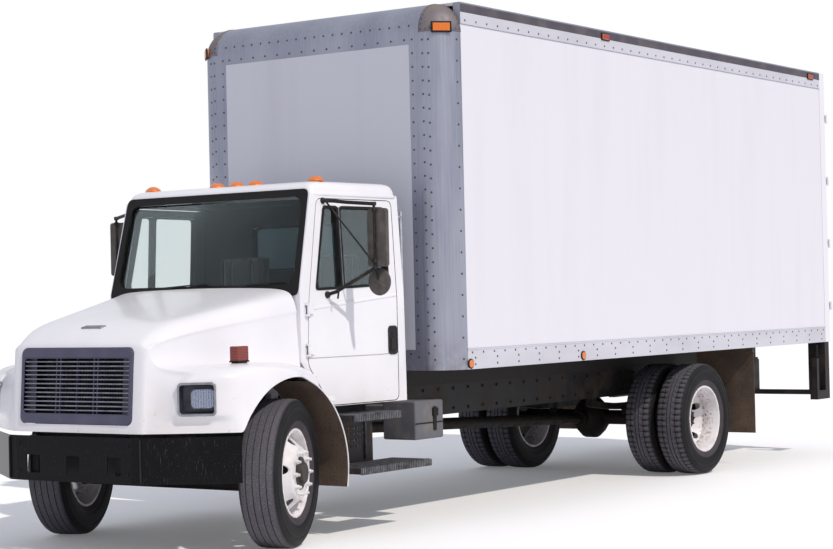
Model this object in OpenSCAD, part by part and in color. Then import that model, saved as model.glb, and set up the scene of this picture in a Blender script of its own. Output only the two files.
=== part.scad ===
// Box truck: conventional cab with a tilting hood, ladder chassis, and an
// aluminium-framed van body with two swing doors at the rear.
// Millimetres. +Z up, the truck faces -Y, its left side is +X.
// The origin is on the ground, at the middle of the length and width.

/* [Overall] */
// Distance between the front and rear axles
wheelbase = 5893; // [5000:10:7200]
// Front of the bumper ahead of the front axle
front_overhang = 970; // [900:5:1200]
// Front of the van body behind the front axle
box_gap = 1730; // [1640:5:2000]
// Length of the van body
box_length = 6985; // [6000:5:8600]
// Outside width of the van body
box_width = 2438; // [2100:2:2600]
// Height of the van body, from the lower rail to the roof
box_height = 2765; // [2200:5:3000]
// Lower edge of the van body above the ground
box_base_z = 1120; // [1080:5:1300]

/* [Wheels] */
// Outer radius of every tyre
tyre_r = 503; // [460:1:540]
// Width of every tyre
tyre_w = 280; // [230:1:295]
// Radius of the rim where the tyre sits
rim_r = 286; // [250:1:300]
// Kingpin, measured sideways from the middle of the truck
kingpin_x = 930; // [900:1:960]
// Middle of the front tyre, outboard of the kingpin
front_offset = 35; // [20:1:60]
// Gap between the outer rear tyre and the side of the van body
dual_inset = 4; // [0:1:60]
// Distance between the middles of twin rear tyres
dual_spacing = 320; // [310:1:350]
// Angle that the front wheels are turned to the left at rest
steer_rest = 20.6; // [0:0.1:35]
// Length of the steering arm
steer_arm = 130; // [110:1:140]

/* [Chassis] */
// Width over the frame rails
frame_w = 864; // [820:2:900]
// Depth of a frame rail
rail_h = 244; // [200:2:270]
// Width of a frame rail's flange
rail_flange = 80; // [60:1:90]
// Thickness of a frame rail
rail_t = 8; // [6:0.5:12]
// Top of the frame rails above the ground
frame_top_z = 965; // [930:5:1000]

/* [Cab] */
// Half width of the cab at the sill
cab_half_w = 975; // [900:1:1010]
// Half width of the cab at the roof gutter
gutter_half_w = 936; // [900:1:950]
// Back of the cab behind the front axle
cab_rear = 1500; // [1400:5:1560]
// Height of the roof gutter
gutter_z = 2420; // [2350:5:2500]
// Height of the top of the cab's roof
roof_z = 2550; // [2500:5:2700]
// Underside of the cab's sill
cab_sill_z = 915; // [900:5:950]
// Top of the cab's floor
cab_floor_z = 1060; // [1040:5:1100]
// Thickness of the cab's walls and doors
cab_wall = 45; // [35:1:60]
// Thickness of window glass
glass_t = 6; // [4:0.5:8]
// Clearance round a cab door
door_gap = 6; // [5:0.5:10]

/* [Hood] */
// Wall of the hood and fenders
hood_t = 10; // [6:1:14]
// Half width of the hood at the grille
nose_half_w = 610; // [560:5:640]
// Half width of the hood at the windshield
cowl_half_w = 880; // [820:5:900]
// Half width over the front fenders
fender_half_w = 1150; // [1120:5:1180]
// Radius of the wheel arch
arch_r = 655; // [620:5:680]

/* [Van body] */
// Radius of the front corners and front top edge
corner_r = 229; // [150:1:260]
// Thickness of the side walls, front wall and roof
panel_t = 25; // [15:1:40]
// Width of the rails and posts that hold the panels
rail_w = 65; // [50:1:90]
// Height of the lower side rail
lower_rail_h = 156; // [120:1:180]
// Height of the upper side rail
upper_rail_h = 165; // [130:1:200]
// Top of the load floor above the lower edge of the body
floor_rise = 140; // [120:1:180]
// Length of the rear frame along the body
rear_frame_d = 115; // [80:1:140]
// Width of a rear corner post
rear_post_w = 100; // [80:1:130]
// Height of the rear header
header_h = 240; // [180:5:300]
// Thickness of a rear door
rear_door_t = 40; // [25:1:60]

/* [Hidden] */
$fn = 64;

// What stands behind the van body: its door hinges and lock rods
door_gear = 36;
total_l = front_overhang + box_gap + box_length + door_gear;
axle_y = front_overhang - total_l / 2;
box_half = box_width / 2;
box_top_z = box_base_z + box_height;
box_rear = box_gap + box_length;
floor_z = box_base_z + floor_rise;
wheel_z = tyre_r;
dual_mid = box_half - dual_inset - tyre_w / 2;
// Clearance between a shaft or pin and its bore
run_gap = 0.1;
// Clearance between curved faces that seat on each other
seat_gap = 0.3;

// Moves the front axle's plane, y = 0 in every outline, to its real place
module placed() { translate([0, axle_y, 0]) children(); }
// A copy on each side of the truck
module both_sides() { children(); mirror([1, 0, 0]) children(); }
// side is 1 on the left and -1 on the right
module on_side(side) { scale_x(side) children(); }
module scale_x(side) { if (side > 0) children(); else mirror([1, 0, 0]) children(); }
// Turns an outline of [radius, distance] about the X axis
module revolved() { rotate([0, 90, 0]) rotate_extrude() children(); }
// A cylinder along X from x0 to x1
module rod_x(r, x0, x1) { translate([x0, 0, 0]) rotate([0, 90, 0]) cylinder(r = r, h = x1 - x0); }
// A cylinder along Y from y0 to y1
module rod_y(r, y0, y1) { translate([0, y1, 0]) rotate([90, 0, 0]) cylinder(r = r, h = y1 - y0); }
// A block from one corner to the other
module block(a, b) { translate(a) cube(b - a); }
// Extrudes an outline of [y, z] points across the truck from x0 to x1
module slab_x(x0, x1) {
    translate([x0, 0, 0]) rotate([90, 0, 90]) linear_extrude(x1 - x0) children();
}
// Extrudes an outline of [x, z] points along the truck from y0 to y1
module slab_y(y0, y1) { translate([0, y1, 0]) rotate([90, 0, 0]) linear_extrude(y1 - y0) children(); }
// An outline with each corner drawn as a curve that starts at distance r from it
function towards(a, b, r) = a + r * (b - a) / norm(b - a);
function rounded(p, r, n = 6) = [for (i = [0:len(p) - 1])
    let (s = towards(p[i], p[(i + len(p) - 1) % len(p)], r), e = towards(p[i], p[(i + 1) % len(p)], r))
    for (k = [0:n]) let (t = k / n) (1 - t) * (1 - t) * s + 2 * t * (1 - t) * p[i] + t * t * e];

// ---------------------------------------------------------------- chassis
rail_x = frame_w / 2;
frame_front = -front_overhang + 90;
frame_rear = box_rear - 60;
rail_z = frame_top_z - rail_h;
hood_pin_y = -front_overhang + 55;
hood_pin_z = 850;
hood_pin_r = 10;
hood_pin_x = 330;

module frame_rail() {
    difference() {
        block([rail_x - rail_flange, frame_front, rail_z], [rail_x, frame_rear, frame_top_z]);
        block([rail_x - rail_flange - 1, frame_front - 1, rail_z + rail_t],
            [rail_x - rail_t, frame_rear + 1, frame_top_z - rail_t]);
    }
}

// Crossmembers, as distances behind the front axle
cross_y = [frame_front + 20, 1250, 2600, 3950, wheelbase - 700, wheelbase + 700];
hitch_x = 160;
hitch_z = 90;
hitch_r = 9;
module crossmembers() {
    for (y = cross_y)
        block([-rail_x + rail_t, y, rail_z + 40], [rail_x - rail_t, y + 90, frame_top_z - 40]);
    // end plate with the hitch's bolt holes
    difference() {
        block([-rail_x + rail_t, frame_rear - 12, rail_z + rail_t], [rail_x - rail_t, frame_rear, frame_top_z - rail_t]);
        for (x = [-hitch_x / 2, hitch_x / 2]) for (z = [-hitch_z / 2, hitch_z / 2])
            translate([x, 0, (rail_z + frame_top_z) / 2 + z]) rod_y(hitch_r, frame_rear - 20, frame_rear + 10);
    }
}

module hood_bracket() {
    block([hood_pin_x, hood_pin_y + 60, rail_z], [hood_pin_x + 30, hood_pin_y + 110, hood_pin_z + 14]);
    block([hood_pin_x, hood_pin_y, hood_pin_z - 14], [hood_pin_x + 30, hood_pin_y + 61, hood_pin_z + 14]);
    translate([hood_pin_x, hood_pin_y, hood_pin_z]) rotate([0, 90, 0]) cylinder(r = 14, h = 30);
    translate([0, hood_pin_y, hood_pin_z]) rod_x(hood_pin_r, hood_pin_x - 24, hood_pin_x + 54);
    // foot that carries the bracket on the frame rail's end
    block([hood_pin_x, hood_pin_y + 60, rail_z], [rail_x, frame_front + 20, rail_z + rail_t]);
    block([hood_pin_x, hood_pin_y + 60, rail_z], [hood_pin_x + 30, frame_front + 20, rail_z + 60]);
}

module chassis_frame() {
    color("#26252a") placed() {
        both_sides() {
            frame_rail();
            hood_bracket();
        }
        crossmembers();
    }
}

// ---------------------------------------------------------------- axles
boss_r = 38;
boss_z0 = wheel_z - 75;
boss_h = 150;
kingpin_r = 20;
beam_z0 = 395;
beam_h = 80;
spring_w = 75;
spring_x = rail_x - rail_flange / 2;

module front_axle() {
    color("#2b2a2c") placed() {
        difference() {
            union() {
                block([-740, -40, beam_z0], [740, 40, beam_z0 + beam_h]);
                both_sides() {
                    slab_y(-40, 40) polygon([[739, beam_z0], [kingpin_x - 20, boss_z0 + 20],
                        [kingpin_x - 20, boss_z0 + 120], [739, beam_z0 + beam_h]]);
                    translate([kingpin_x, 0, boss_z0]) cylinder(r = boss_r, h = boss_h);
                }
            }
            both_sides() translate([kingpin_x, 0, boss_z0 - 1])
                cylinder(r = kingpin_r + run_gap, h = boss_h + 2);
        }
    }
}

spindle_r = 35;
hub_face_x = kingpin_x + front_offset + tyre_w / 2 + 25;
ear_gap = 1.5;
ear_h = 32;
arm_z = wheel_z - 118;
pin_end_r = 11;
tie_r = 18;

// Kingpin, fork, brake plate, spindle and steering arm, with the wheel straight ahead
module straight_knuckle() {
    translate([kingpin_x, 0, 0]) {
        translate([0, 0, boss_z0 - ear_gap - ear_h]) cylinder(r = kingpin_r, h = boss_h + 2 * (ear_gap + ear_h));
        for (z = [boss_z0 - ear_gap - ear_h, boss_z0 + boss_h + ear_gap]) {
            translate([0, 0, z]) cylinder(r = 34, h = ear_h);
            block([0, -34, z], [58, 34, z + ear_h]);
        }
        block([boss_r + 6, -45, boss_z0 - ear_gap - ear_h],
            [boss_r + 20, 45, boss_z0 + boss_h + ear_gap + ear_h]);
        translate([0, 0, wheel_z]) rod_x(spindle_r, boss_r + 19, hub_face_x - kingpin_x - 12);
        // steering arm, towards the rear
        block([-20, 0, arm_z], [20, steer_arm, arm_z + 24]);
        translate([0, steer_arm, arm_z]) cylinder(r = 20, h = 24);
        translate([0, steer_arm, arm_z - 34]) cylinder(r = pin_end_r, h = 36);
    }
}

// Turns what is drawn straight ahead on the left side about that side's kingpin
module steered(side) {
    translate([side * kingpin_x, 0, 0]) rotate([0, 0, steer_rest]) translate([-side * kingpin_x, 0, 0])
        on_side(side) children();
}

module knuckle(side) { color("#3a3836") placed() steered(side) straight_knuckle(); }
module knuckle_left() { knuckle(1); }
module knuckle_right() { knuckle(-1); }

tie_dx = -steer_arm * sin(steer_rest);
tie_dy = steer_arm * cos(steer_rest);
tie_z = arm_z - 18;
module tie_rod() {
    color("#3a3836") placed() translate([tie_dx, tie_dy, tie_z]) difference() {
        union() {
            rod_x(tie_r * 0.7, -kingpin_x, kingpin_x);
            for (s = [-1, 1]) translate([s * kingpin_x, 0, -14]) cylinder(r = 22, h = 28);
        }
        for (s = [-1, 1]) translate([s * kingpin_x, 0, -15]) cylinder(r = pin_end_r + run_gap, h = 30);
    }
}

axle_tube_r = 68;
rear_spindle_r = 42;
hub_r = 105;
drum_x = dual_mid - dual_spacing - 20;
module rear_axle() {
    color("#2b2a2c") placed() translate([0, wheelbase, wheel_z]) {
        rod_x(axle_tube_r, -drum_x + 30, drum_x - 30);
        rod_x(rear_spindle_r, -dual_mid + 30, dual_mid - 30);
        revolved() polygon([[0, -170], [axle_tube_r + 4, -170], [150, -105], [195, -50], [195, 50], [150, 105],
            [axle_tube_r + 4, 170], [0, 170]]);
        rod_y(70, -260, -120);
        both_sides() translate([spring_x, 0, 0]) block([-spring_w / 2, -60, 0], [spring_w / 2, 60, axle_tube_r + 14]);
    }
}

// Half of a bow, as points from its middle to its end
function bow(half, rise, z, n = 8) = [for (i = [-n:n]) [half * i / n, z + rise * pow(i / n, 2)]];
module leaf_pack(half, z, rise, thick) {
    slab_x(spring_x - spring_w / 2, spring_x + spring_w / 2)
        polygon(concat(bow(half, rise, z), [for (p = bow(half * 0.999, rise, z + thick)) [-p[0], p[1]]]));
}
module hanger(y, z) { block([spring_x - spring_w / 2 + 5, y - 40, z], [spring_x + spring_w / 2 - 5, y + 40, rail_z]); }

rear_spring_z = wheel_z + axle_tube_r + 14;
module leaf_springs() {
    color("#333032") placed() both_sides() {
        leaf_pack(680, beam_z0 + beam_h, 150, 45);
        for (s = [-1, 1]) hanger(s * 640, beam_z0 + beam_h + 170);
        translate([0, wheelbase, 0]) {
            leaf_pack(720, rear_spring_z, 60, 60);
            for (s = [-1, 1]) hanger(s * 680, rear_spring_z + 105);
        }
    }
}

shaft_front_y = 1000;
shaft_front_z = 700;
module driveshaft() {
    color("#4a4648") placed() {
        shaft_rear = wheelbase - 260;
        drop = atan((shaft_front_z - wheel_z) / (shaft_rear - shaft_front_y));
        translate([0, shaft_front_y, shaft_front_z]) rotate([-drop, 0, 0])
            rod_y(50, 0, (shaft_rear - shaft_front_y) / cos(drop) - 3);
    }
}

engine_y0 = -420;
engine_y1 = 335;
module engine() {
    color("#3b3d40") placed() {
        block([-300, engine_y0, 620], [300, engine_y1, 1330]);
        block([-190, engine_y1 + seat_gap, 640], [190, shaft_front_y - 3, 960]);
    }
}
module radiator() {
    color("#1c1c1f") placed() {
        block([-400, -720, frame_top_z + seat_gap], [400, -640, 1400]);
    }
}

bumper_z0 = 495;
bumper_z1 = 798;
bumper_t = 8;
// The fenders and bumper ends sweep back to here at their full width
corner_y = -590;
module bumper_outline(inset) {
    f = -front_overhang + inset;
    w = fender_half_w - 5 - inset;
    polygon([[-w, corner_y], [-nose_half_w + inset / 2, f + 12], [-nose_half_w + 80, f],
        [nose_half_w - 80, f], [nose_half_w - inset / 2, f + 12], [w, corner_y]]);
}
module front_bumper() {
    color("#1b1b1e") placed() {
        difference() {
            translate([0, 0, bumper_z0]) linear_extrude(bumper_z1 - bumper_z0) bumper_outline(0);
            translate([0, 0, bumper_z0 - 1]) linear_extrude(bumper_z1 - bumper_z0 + 2)
                difference() {
                    bumper_outline(bumper_t);
                    for (x = [-rail_x, rail_x - rail_flange])
                        translate([x, frame_front - 60]) square([rail_flange, 60]);
                }
            // openings for the tow hooks and the starting handle
            for (x = [-372, 0, 372]) block([x - 60, -front_overhang - 1, 550], [x + 60, -front_overhang + 20, 668]);
        }
        // mounting blocks on the ends of the frame rails
        both_sides() block([rail_x - rail_flange, -front_overhang + bumper_t, rail_z],
            [rail_x, frame_front, bumper_z1 - 5]);
    }
}

// ---------------------------------------------------------------- chassis fittings
tank_r = 280;
tank_x = -(rail_x + 48 + tank_r);
tank_y0 = 1780;
tank_l = 1100;
module fuel_tank() {
    color("#8f9296") placed() {
        translate([tank_x, 0, 650]) rod_y(tank_r, tank_y0, tank_y0 + tank_l);
        // shelf brackets from the frame rail
        for (y = [tank_y0 + 180, tank_y0 + tank_l - 250])
            difference() {
                block([tank_x - 60, y, 355], [-rail_x, y + 60, rail_z + 120]);
                translate([tank_x, 0, 650]) rod_y(tank_r, tank_y0, tank_y0 + tank_l);
            }
    }
}

muffler_z = 600;
module exhaust() {
    color("#5d5a58") placed() translate([-620, 0, muffler_z]) {
        rod_y(115, 700, 1330);
        rod_y(38, 1320, 1700);
        translate([0, 760, 0]) rod_x(38, 100, 390);
        block([80, 900, 0], [620 - rail_x + 30, 960, rail_z - muffler_z]);
    }
}

guard_t = 10;
guard_x = 1060;
step_x0 = 800;
step_x1 = 1150;
step_y0 = arch_r + guard_t + 8;
module cab_steps() {
    color("#2c2c30") placed() both_sides() {
        // upper tread, lower tread with its longer rear end, and the panel behind them
        block([step_x0, step_y0, 815], [step_x1 - 60, 1240, 850]);
        block([step_x0, step_y0, 440], [step_x1, 1290, 480]);
        block([step_x0, 1289, 440], [step_x1, 1540, 480]);
        block([step_x0 - 30, step_y0, 440], [step_x0, 1300, 850]);
        for (y = [step_y0 + 20, 1200]) block([rail_x, y, rail_z + 20], [step_x0 - 29, y + 60, rail_z + 90]);
    }
}

module tool_box() {
    color("#77787f") placed() {
        block([700, 1565, 612], [1000, 1935, 900]);
        block([rail_x, 1700, rail_z + 60], [701, 1800, rail_z + 140]);
    }
}

// Height line of the cab's toe board, as a distance behind the front axle
toe_top_z = 1240;
toe_run = 210;
function toe_y(z) = cab_front + toe_run * (toe_top_z - z) / (toe_top_z - cab_sill_z);
cab_front = 352;
module mud_guards() {
    color("#e4e3e9") placed() both_sides() slab_x(640, guard_x, $fn = 240) {
        difference() {
            intersection() {
                translate([0, wheel_z]) circle(arch_r + guard_t);
                translate([0, 355]) square([arch_r + guard_t + 1, 755]);
            }
            translate([0, wheel_z]) circle(arch_r);
        }
        difference() {
            polygon([[420, 960], [toe_y(960), 960], [toe_y(1000), 1000], [400, 1000]]);
            translate([0, wheel_z]) circle(arch_r + guard_t / 2);
        }
    }
}

flap_y = wheelbase + 1060;
module mud_flaps() {
    color("#4a3f39") placed() both_sides() {
        block([580, flap_y, 300], [box_half - 30, flap_y + 8, 1075]);
        block([580, flap_y - 30, 1075], [box_half - 30, flap_y + 30, box_base_z]);
    }
}

// ---------------------------------------------------------------- cab
belt_z = 1660;
// The back of the cab leans forward by this much at the gutter
back_lean = 20;
function cab_back(z) = cab_rear - back_lean * (z - cab_sill_z) / (gutter_z - cab_sill_z);
cab_taper = 3.7;
cab_floor_t = 48;
win_top = gutter_z - 95;
shield_z0 = 1775;
shield_z1 = gutter_z - 12;
shield_run = 175;

// The sides of the cab draw together towards the front
module tapered() {
    translate([cab_half_w, cab_rear, 0]) rotate([0, 0, -cab_taper]) translate([-cab_half_w, -cab_rear, 0]) children();
}
module cab_half(inset) {
    tapered() slab_y(-200, 1800) polygon([[-1500, 700], [cab_half_w - inset, 700], [cab_half_w - inset, belt_z],
        [gutter_half_w - inset, gutter_z], [gutter_half_w - 40 - inset, roof_z - 5], [gutter_half_w - 40 - inset, 2800],
        [-1500, 2800]]);
}
module cab_sides(inset) {
    intersection() {
        cab_half(inset);
        mirror([1, 0, 0]) cab_half(inset);
    }
}
module side_skin(a, b) {
    tapered() slab_y(200, 1700) polygon([[cab_half_w - a, 800], [cab_half_w - a, belt_z], [gutter_half_w - a, gutter_z],
        [gutter_half_w - b, gutter_z], [cab_half_w - b, belt_z], [cab_half_w - b, 800]]);
}
cab_top = roof_z - 38;
function roof_line(i) = [[cab_rear - back_lean - i, gutter_z], [cab_rear - 60 - i, cab_top - 32 - i], [cab_rear - 150 - i, cab_top - i],
    [cab_front + shield_run + 120 + i, cab_top - i], [cab_front + shield_run + 40 + i, cab_top - 27 - i],
    [cab_front + shield_run + i, gutter_z + 20 - i]];
module cab_outside() {
    intersection() {
        slab_x(-1200, 1200) polygon(concat([[cab_front, toe_top_z], [toe_y(cab_sill_z), cab_sill_z],
            [cab_rear, cab_sill_z]], roof_line(0), [[cab_front, shield_z0 - 40]]));
        cab_sides(0);
    }
}
module cab_inside() {
    w = cab_wall;
    intersection() {
        slab_x(-1200, 1200) polygon(concat([[cab_front + w, toe_top_z], [toe_y(cab_floor_z) + w + 10, cab_floor_z],
            [cab_rear - w, cab_floor_z]], roof_line(w), [[cab_front + w, shield_z0 - 40]]));
        cab_sides(w);
    }
}
// Outline of the door as [distance behind the front axle, height], grown by g
door_front = 425;
door_rear = cab_rear - 95;
door_z0 = cab_sill_z + 10;
door_z1 = gutter_z - 40;
function door_outline(g) = [[door_front - g, 1215 - g], [655 - g, door_z0 - g], [door_rear + g, door_z0 - g],
    [door_rear + g, door_z1 + g], [door_front + 165 - g, door_z1 + g], [door_front + 20 - g, belt_z]];
door_round = 50;
module door_opening() { slab_x(700, 1200) polygon(rounded(door_outline(door_gap), door_round + door_gap)); }

door_hinge_x = 922;
door_hinge_y = door_front - 8;
door_hinge_z = [1290, 1570];
hinge_pin_r = 6;
// Fixed half of a door hinge: a pin held above and below the door's eye
module hinge_post(z) {
    translate([door_hinge_x, door_hinge_y, z - 15]) cylinder(r = hinge_pin_r, h = 90);
    for (dz = [-15, 61]) {
        translate([door_hinge_x, door_hinge_y, z + dz]) cylinder(r = 11, h = 14);
        block([door_hinge_x - 40, door_hinge_y - 20, z + dz], [door_hinge_x, door_hinge_y, z + dz + 14]);
    }
}
shield_bottom = 848;
shield_top = 822;
module shield_outline() {
    polygon(rounded([[-shield_bottom, shield_z0], [shield_bottom, shield_z0], [shield_top, shield_z1],
        [-shield_top, shield_z1]], 85));
}
module rear_window(y0, y1) { slab_y(y0, y1) polygon(rounded([[-420, 1900], [420, 1900], [420, 2240], [-420, 2240]], 60)); }

riser_z = 1250;
seat_x = 430;
cab_white = "#ecebf1";
// A panel that fills an outline of [y, z] points between the cab's side walls
module between_sides(points) {
    intersection() {
        slab_x(-1200, 1200) polygon(points);
        cab_sides(cab_wall);
    }
}
module cab_floor() {
    color(cab_white) placed() {
        difference() {
            between_sides([[toe_y(cab_sill_z), cab_sill_z], [cab_rear, cab_sill_z], [cab_back(cab_floor_z), cab_floor_z],
                [toe_y(cab_floor_z), cab_floor_z]]);
            // the floor stands clear of the frame between the sills
            block([-740, 0, 800], [740, 2000, cab_floor_z - cab_floor_t]);
            // and clear of the doors' inner faces
            difference() {
                both_sides() door_opening();
                cab_sides(cab_wall + door_gap);
            }
        }
        // seat risers, and the mounts that carry the cab on the frame
        both_sides() {
            block([seat_x - 200, 900, cab_floor_z], [seat_x + 200, 1330, riser_z]);
            for (y = [640, 1380]) block([spring_x - 30, y - 40, frame_top_z], [spring_x + 30, y + 40, cab_floor_z - cab_floor_t]);
        }
    }
}
// Outside of the windshield's plane at a height
function shield_y(z) = cab_front + shield_run * (z - shield_z0 + 40) / (gutter_z + 20 - shield_z0 + 40);
module cab_front_panel() {
    color(cab_white) placed() difference() {
        between_sides([[cab_front, toe_top_z], [cab_front, shield_z0 - 40], [shield_y(gutter_z), gutter_z],
            [shield_y(gutter_z) + cab_wall, gutter_z], [cab_front + cab_wall, shield_z0 - 40], [cab_front + cab_wall, toe_top_z],
            [toe_y(cab_floor_z) + cab_wall, cab_floor_z], [toe_y(cab_floor_z), cab_floor_z]]);
        slab_y(300, 640) shield_outline();
    }
}
module cab_back_panel() {
    color(cab_white) placed() difference() {
        between_sides([[cab_back(cab_floor_z) - cab_wall, cab_floor_z], [cab_back(cab_floor_z), cab_floor_z],
            [cab_back(gutter_z), gutter_z], [cab_back(gutter_z) - cab_wall, gutter_z]]);
        rear_window(cab_rear - 150, cab_rear + 50);
    }
}
module cab_door_frames() {
    color(cab_white) placed() {
        difference() {
            intersection() {
                cab_outside();
                block([-1200, 0, 0], [1200, 2000, gutter_z]);
            }
            cab_sides(cab_wall);
            both_sides() door_opening();
        }
        both_sides() for (z = door_hinge_z) hinge_post(z);
    }
}
module cab_roof() {
    color(cab_white) placed() difference() {
        intersection() {
            cab_outside();
            block([-1200, 0, gutter_z], [1200, 2000, 3000]);
        }
        cab_inside();
    }
}
glass_in = 20;
module cab_glass() {
    color("#20282c") placed() {
        intersection() {
            slab_y(300, 640) shield_outline();
            slab_x(-1200, 1200) polygon([[cab_front + glass_in, shield_z0 - 40],
                [cab_front + glass_in + glass_t, shield_z0 - 40],
                [cab_front + shield_run + glass_in + glass_t, gutter_z + 20],
                [cab_front + shield_run + glass_in, gutter_z + 20]]);
        }
        rear_window(cab_rear - 35 - glass_t, cab_rear - 35);
    }
}

dash_back = 660;
wheel_at = [seat_x, 800, 1640];
wheel_tilt = 38;
module dashboard() {
    color("#3c3b3e") placed() difference() {
        slab_x(-800, 800) polygon([[cab_front + cab_wall, 1330], [560, 1330], [dash_back, 1450],
            [dash_back, 1600], [600, 1655], [cab_front + cab_wall, 1700]]);
        translate(wheel_at) rotate([-wheel_tilt, 0, 0]) steering_column(seat_gap);
    }
}

module steering_column(gap) { translate([0, 0, -260 - gap]) cylinder(r = 24 + gap, h = 255); }
module steering_wheel() {
    color("#1f1f21") placed() translate(wheel_at) rotate([-wheel_tilt, 0, 0]) {
        rotate_extrude() translate([215, 0]) circle(14);
        cylinder(r = 50, h = 40, center = true);
        for (a = [30, 150, 270]) rotate([0, 0, a]) rod_x(10, 30, 210);
        // column down to the dashboard's lower edge
        steering_column(0);
    }
}

module seats() {
    color("#5b5a60") placed() both_sides() {
        block([seat_x - 240, 860, riser_z], [seat_x + 240, 1340, riser_z + 130]);
        block([seat_x - 230, 1300, riser_z + 130 + seat_gap], [seat_x + 230, 1430, riser_z + 780]);
    }
}

grab_y = cab_rear + 75;
module grab_handles() {
    color("#c9ccd2") placed() both_sides() {
        translate([900, grab_y, 1370]) cylinder(r = 14, h = 940);
        for (z = [1390, 2270]) translate([900, 0, z]) rod_y(10, cab_back(z - 10) + seat_gap, grab_y);
    }
}

// ---------------------------------------------------------------- cab doors
module window_vent() { polygon(rounded([[525, 1742], [800, 1750], [800, win_top], [655, win_top]], 34)); }
module window_main() {
    polygon(rounded([[824, 1751], [door_rear - 85, 1772], [door_rear - 85, win_top], [824, win_top]], 45));
}
module cab_door(side) {
    color(cab_white) placed() on_side(side) {
        difference() {
            intersection() {
                side_skin(0, cab_wall);
                slab_x(700, 1200) polygon(rounded(door_outline(0), door_round));
            }
            slab_x(700, 1200) window_vent();
            slab_x(700, 1200) window_main();
        }
        // hinge leaves that reach out to the hinge line
        for (z = door_hinge_z) difference() {
            union() {
                block([door_hinge_x - 26, door_hinge_y + 32, z], [door_hinge_x + 2, door_hinge_y + 65, z + 60]);
                translate([door_hinge_x, door_hinge_y, z]) cylinder(r = 11, h = 60);
                block([door_hinge_x - 6, door_hinge_y, z], [door_hinge_x + 8, door_hinge_y + 40, z + 60]);
            }
            translate([door_hinge_x, door_hinge_y, z - 1]) cylinder(r = hinge_pin_r + run_gap, h = 62);
        }
    }
}
module door_left() { cab_door(1); }
module door_right() { cab_door(-1); }
module door_glass(side) {
    color("#20282c") placed() on_side(side) intersection() {
        side_skin(glass_in, glass_in + glass_t);
        slab_x(700, 1200) {
            window_vent();
            window_main();
        }
    }
}
module door_glass_left() { door_glass(1); }
module door_glass_right() { door_glass(-1); }

mirror_x = 1245;
mirror_y = 800;
module door_mirror(side) {
    color("#1e1e20") placed() on_side(side) {
        // rod, tall head, round head below it, and the two arms to the door
        translate([mirror_x - 10, mirror_y - 16, 1660]) cylinder(r = 9, h = 690);
        block([mirror_x - 90, mirror_y + 2, 1890], [mirror_x + 90, mirror_y + 50, 2300]);
        block([mirror_x - 30, mirror_y - 16, 2050], [mirror_x + 10, mirror_y + 3, 2130]);
        translate([mirror_x - 5, mirror_y + 2, 1770]) rotate([-90, 0, 0]) cylinder(r = 98, h = 34);
        block([mirror_x - 30, mirror_y - 16, 1750], [mirror_x + 10, mirror_y + 3, 1790]);
        for (z = [1665, 2325]) translate([0, mirror_y - 16, z])
            rod_x(9, side_x_at(mirror_y - 16, z), mirror_x);
    }
}
// Outside of the cab at a distance behind the front axle and a height
function side_x_at(y, z) = (z < belt_z ? cab_half_w : cab_half_w - (cab_half_w - gutter_half_w) * (z - belt_z) / (gutter_z - belt_z))
    / cos(cab_taper) - (cab_rear - y) * tan(cab_taper) - cab_half_w * (1 / cos(cab_taper) - 1) + 1.6;
module mirror_left() { door_mirror(1); }
module mirror_right() { door_mirror(-1); }

// ---------------------------------------------------------------- hood
hood_rear = cab_front - 10;
hood_z0 = 826;
nose_top_z = 1400;
cowl_z = 1745;
module hood_plan(i) {
    w0 = nose_half_w - i;
    w1 = cowl_half_w - i;
    f = -front_overhang + 22 + i;
    polygon([[-w0, f], [w0, f], [w1, hood_rear + (i > 0 ? 1 : 0)], [-w1, hood_rear + (i > 0 ? 1 : 0)]]);
}
function hood_line(i) = [[-front_overhang + 22 + i, hood_z0 - (i > 0 ? 1 : 0)], [-front_overhang + 62 + i, nose_top_z - i],
    [-850 + i, 1462 - i], [-700 + i * 0.7, 1545 - i], [hood_rear + (i > 0 ? 1 : 0), cowl_z - i],
    [hood_rear + (i > 0 ? 1 : 0), hood_z0 - (i > 0 ? 1 : 0)]];
module bonnet(i) {
    intersection() {
        slab_x(-1000, 1000) polygon(hood_line(i));
        translate([0, 0, 700]) linear_extrude(1200) hood_plan(i);
    }
}
fender_z = 1255;
fender_front = -front_overhang + 24;
fender_rear = 335;
sweep = atan((corner_y - fender_front) / (fender_half_w - nose_half_w));
function fender_line(i) = [[fender_front + i, 822], [fender_front + 8 + i, 1000], [fender_front + 50 + i, 1120 - i],
    [-820 + i, 1192 - i], [-700, 1236 - i], [-540, fender_z - i], [60, fender_z - i], [fender_rear - i, 1165 - i],
    [fender_rear - i, 1120], [fender_rear - i, 822]];
module fender_plan(i) {
    d = i / cos(sweep);
    polygon([[nose_half_w - 20, fender_front + d - 20 * tan(sweep)], [fender_half_w - i, corner_y + d - i * tan(sweep)],
        [fender_half_w - i, -300], [guard_x - i, fender_rear], [nose_half_w - 20, fender_rear]]);
}
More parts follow.
